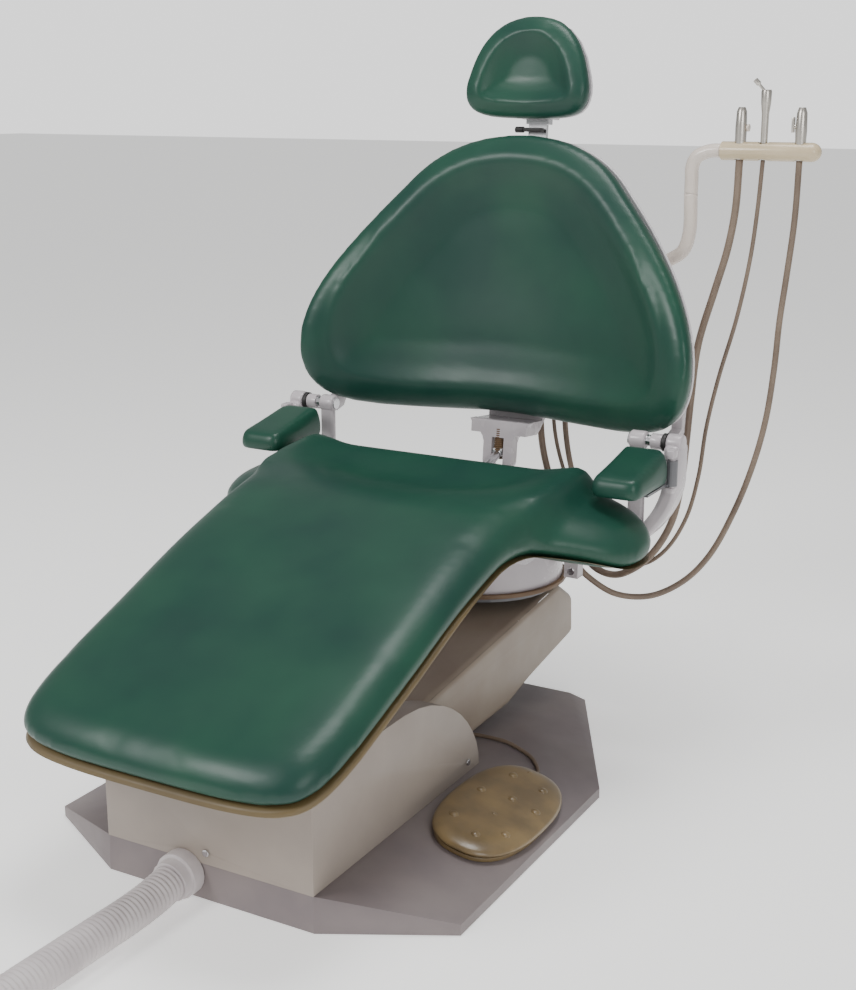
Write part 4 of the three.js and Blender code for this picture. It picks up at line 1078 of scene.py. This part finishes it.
def switchOutline(inset, count=96):
    a, b = footSwitch["half"]

    def bend(value):
        return math.copysign(abs(value) ** footSwitch["squareness"], value)

    angles = [2 * math.pi * i / count for i in range(count)]
    return [((a - inset) * bend(math.cos(t)), (b - inset) * bend(math.sin(t))) for t in angles]


def onRamp(obj):
    # from the switch's own frame to its place on the sloping side of the base
    x, y = footSwitch["place"]
    topX, topZ = footSwitch["rampTop"]
    z = topZ - (x - topX) * math.tan(footSwitch["lean"])
    obj.data.transform(Matrix.Translation((x, y, z)) @ Matrix.Rotation(footSwitch["lean"], 4, "Y"))
    obj.data.update()
    return obj


def pedalHeight(inside):
    return footSwitch["rim"] + footSwitch["crown"] * rounding(inside, footSwitch["shoulder"])


def makeFootSwitch():
    # a lens with small domes that presses down over a thin plate, and the cord's inlet
    f = footSwitch
    plate = prism("switchPlate", switchOutline(f["plateInset"]), "xy", *f["plateHeights"])
    softenEdges(plate, 0.0014)
    inlet = roundRod("switchInlet", f["inletRadius"], f["inletStart"], f["inletEnd"], 0.001)
    base = mergeObjects("footSwitchBase", plate, inlet)
    onRamp(base)
    finish(base, "base", "pedal", "pedal_plastic", "foot_switch_base")

    def top(p, inside):
        return pedalHeight(inside)

    def under(p, inside):
        return np.full(len(p), f["lensUnder"])

    lens = cushion("pedalLens", switchOutline(f["lensInset"]), (0, 0), top, under,
                   lambda p, d: (p[0], p[1], d), 0.003, 0.003, 0.5, 30)
    edge = switchOutline(0)
    dome = lathe("dome", f["dome"], (0, 0, 0), (0, 0, 1), 28)
    places = []
    for x, y, size in f["domes"]:
        inside = edgeDistance([(x, y)], edge)
        places.append(((x, y, float(pedalHeight(inside)[0]) - f["domeSunk"]), (0, 0, 0), size))
    domes = repeatPiece("pedalDomes", dome, places, "pedal")
    domes.data.materials.clear()
    pedal = mergeObjects("footSwitchPedal", lens, domes)
    onRamp(pedal)
    finish(pedal, "foot_pedal", "pedal", "pedal_plastic", "foot_switch_pedal")


for armSide in (1, -1):
    makeSideArm(armSide)
makeArmCover()
makeHolderTubes()
makeConduit()
makeFootSwitch()
print("arms, arm cover, holder tubes and foot switch made")


# floor and light
# each lamp is its name, place, size and power
stage = {"half": 25, "drop": 0.0005, "colour": "#F4F4F2", "roughness": 0.9, "glow": 0.55,
         "lightsWith": 0.42, "shows": 1.5, "aim": (0, 0, 0.5),
         "lamps": [("key", (-1.5, -2.7, 2.5), 1.1, 62), ("fill", (2.4, -1.8, 1.6), 1.4, 26),
                   ("top", (0.3, 0.2, 3.2), 1.3, 52)]}


def makeStage():
    half = stage["half"]
    corners = rectangle((-half, half), (-half, half))
    floor = addObject("floor", [(x, y, -stage["drop"]) for x, y in corners], [[0, 1, 2, 3]], smooth=False)
    material, _, shader, _ = newMaterial("paleFloor")
    shader.inputs["Base Color"].default_value = linear(stage["colour"])
    shader.inputs["Roughness"].default_value = stage["roughness"]
    shader.inputs["Emission Color"].default_value = (1, 1, 1, 1)
    shader.inputs["Emission Strength"].default_value = stage["glow"]
    floor.data.materials.append(material)

    world = bpy.data.worlds.new("studio")
    world.use_nodes = True
    # the camera sees a brighter backdrop than the one that lights the chair
    ray = addNode(world.node_tree, "ShaderNodeLightPath")
    strength = addNode(world.node_tree, "ShaderNodeMapRange",
                       {"To Min": stage["lightsWith"], "To Max": stage["shows"]},
                       {"Value": ray.outputs["Is Camera Ray"]})
    background = world.node_tree.nodes["Background"]
    background.inputs[0].default_value = (1, 1, 1, 1)
    world.node_tree.links.new(strength.outputs[0], background.inputs[1])
    bpy.context.scene.world = world

    for name, place, size, power in stage["lamps"]:
        data = bpy.data.lights.new(name, "AREA")
        data.size = size
        data.energy = power
        lamp = bpy.data.objects.new(name, data)
        lamp.location = place
        aim = Vector(stage["aim"]) - Vector(place)
        lamp.rotation_euler = aim.to_track_quat("-Z", "Y").to_euler()
        bpy.context.scene.collection.objects.link(lamp)


makeStage()
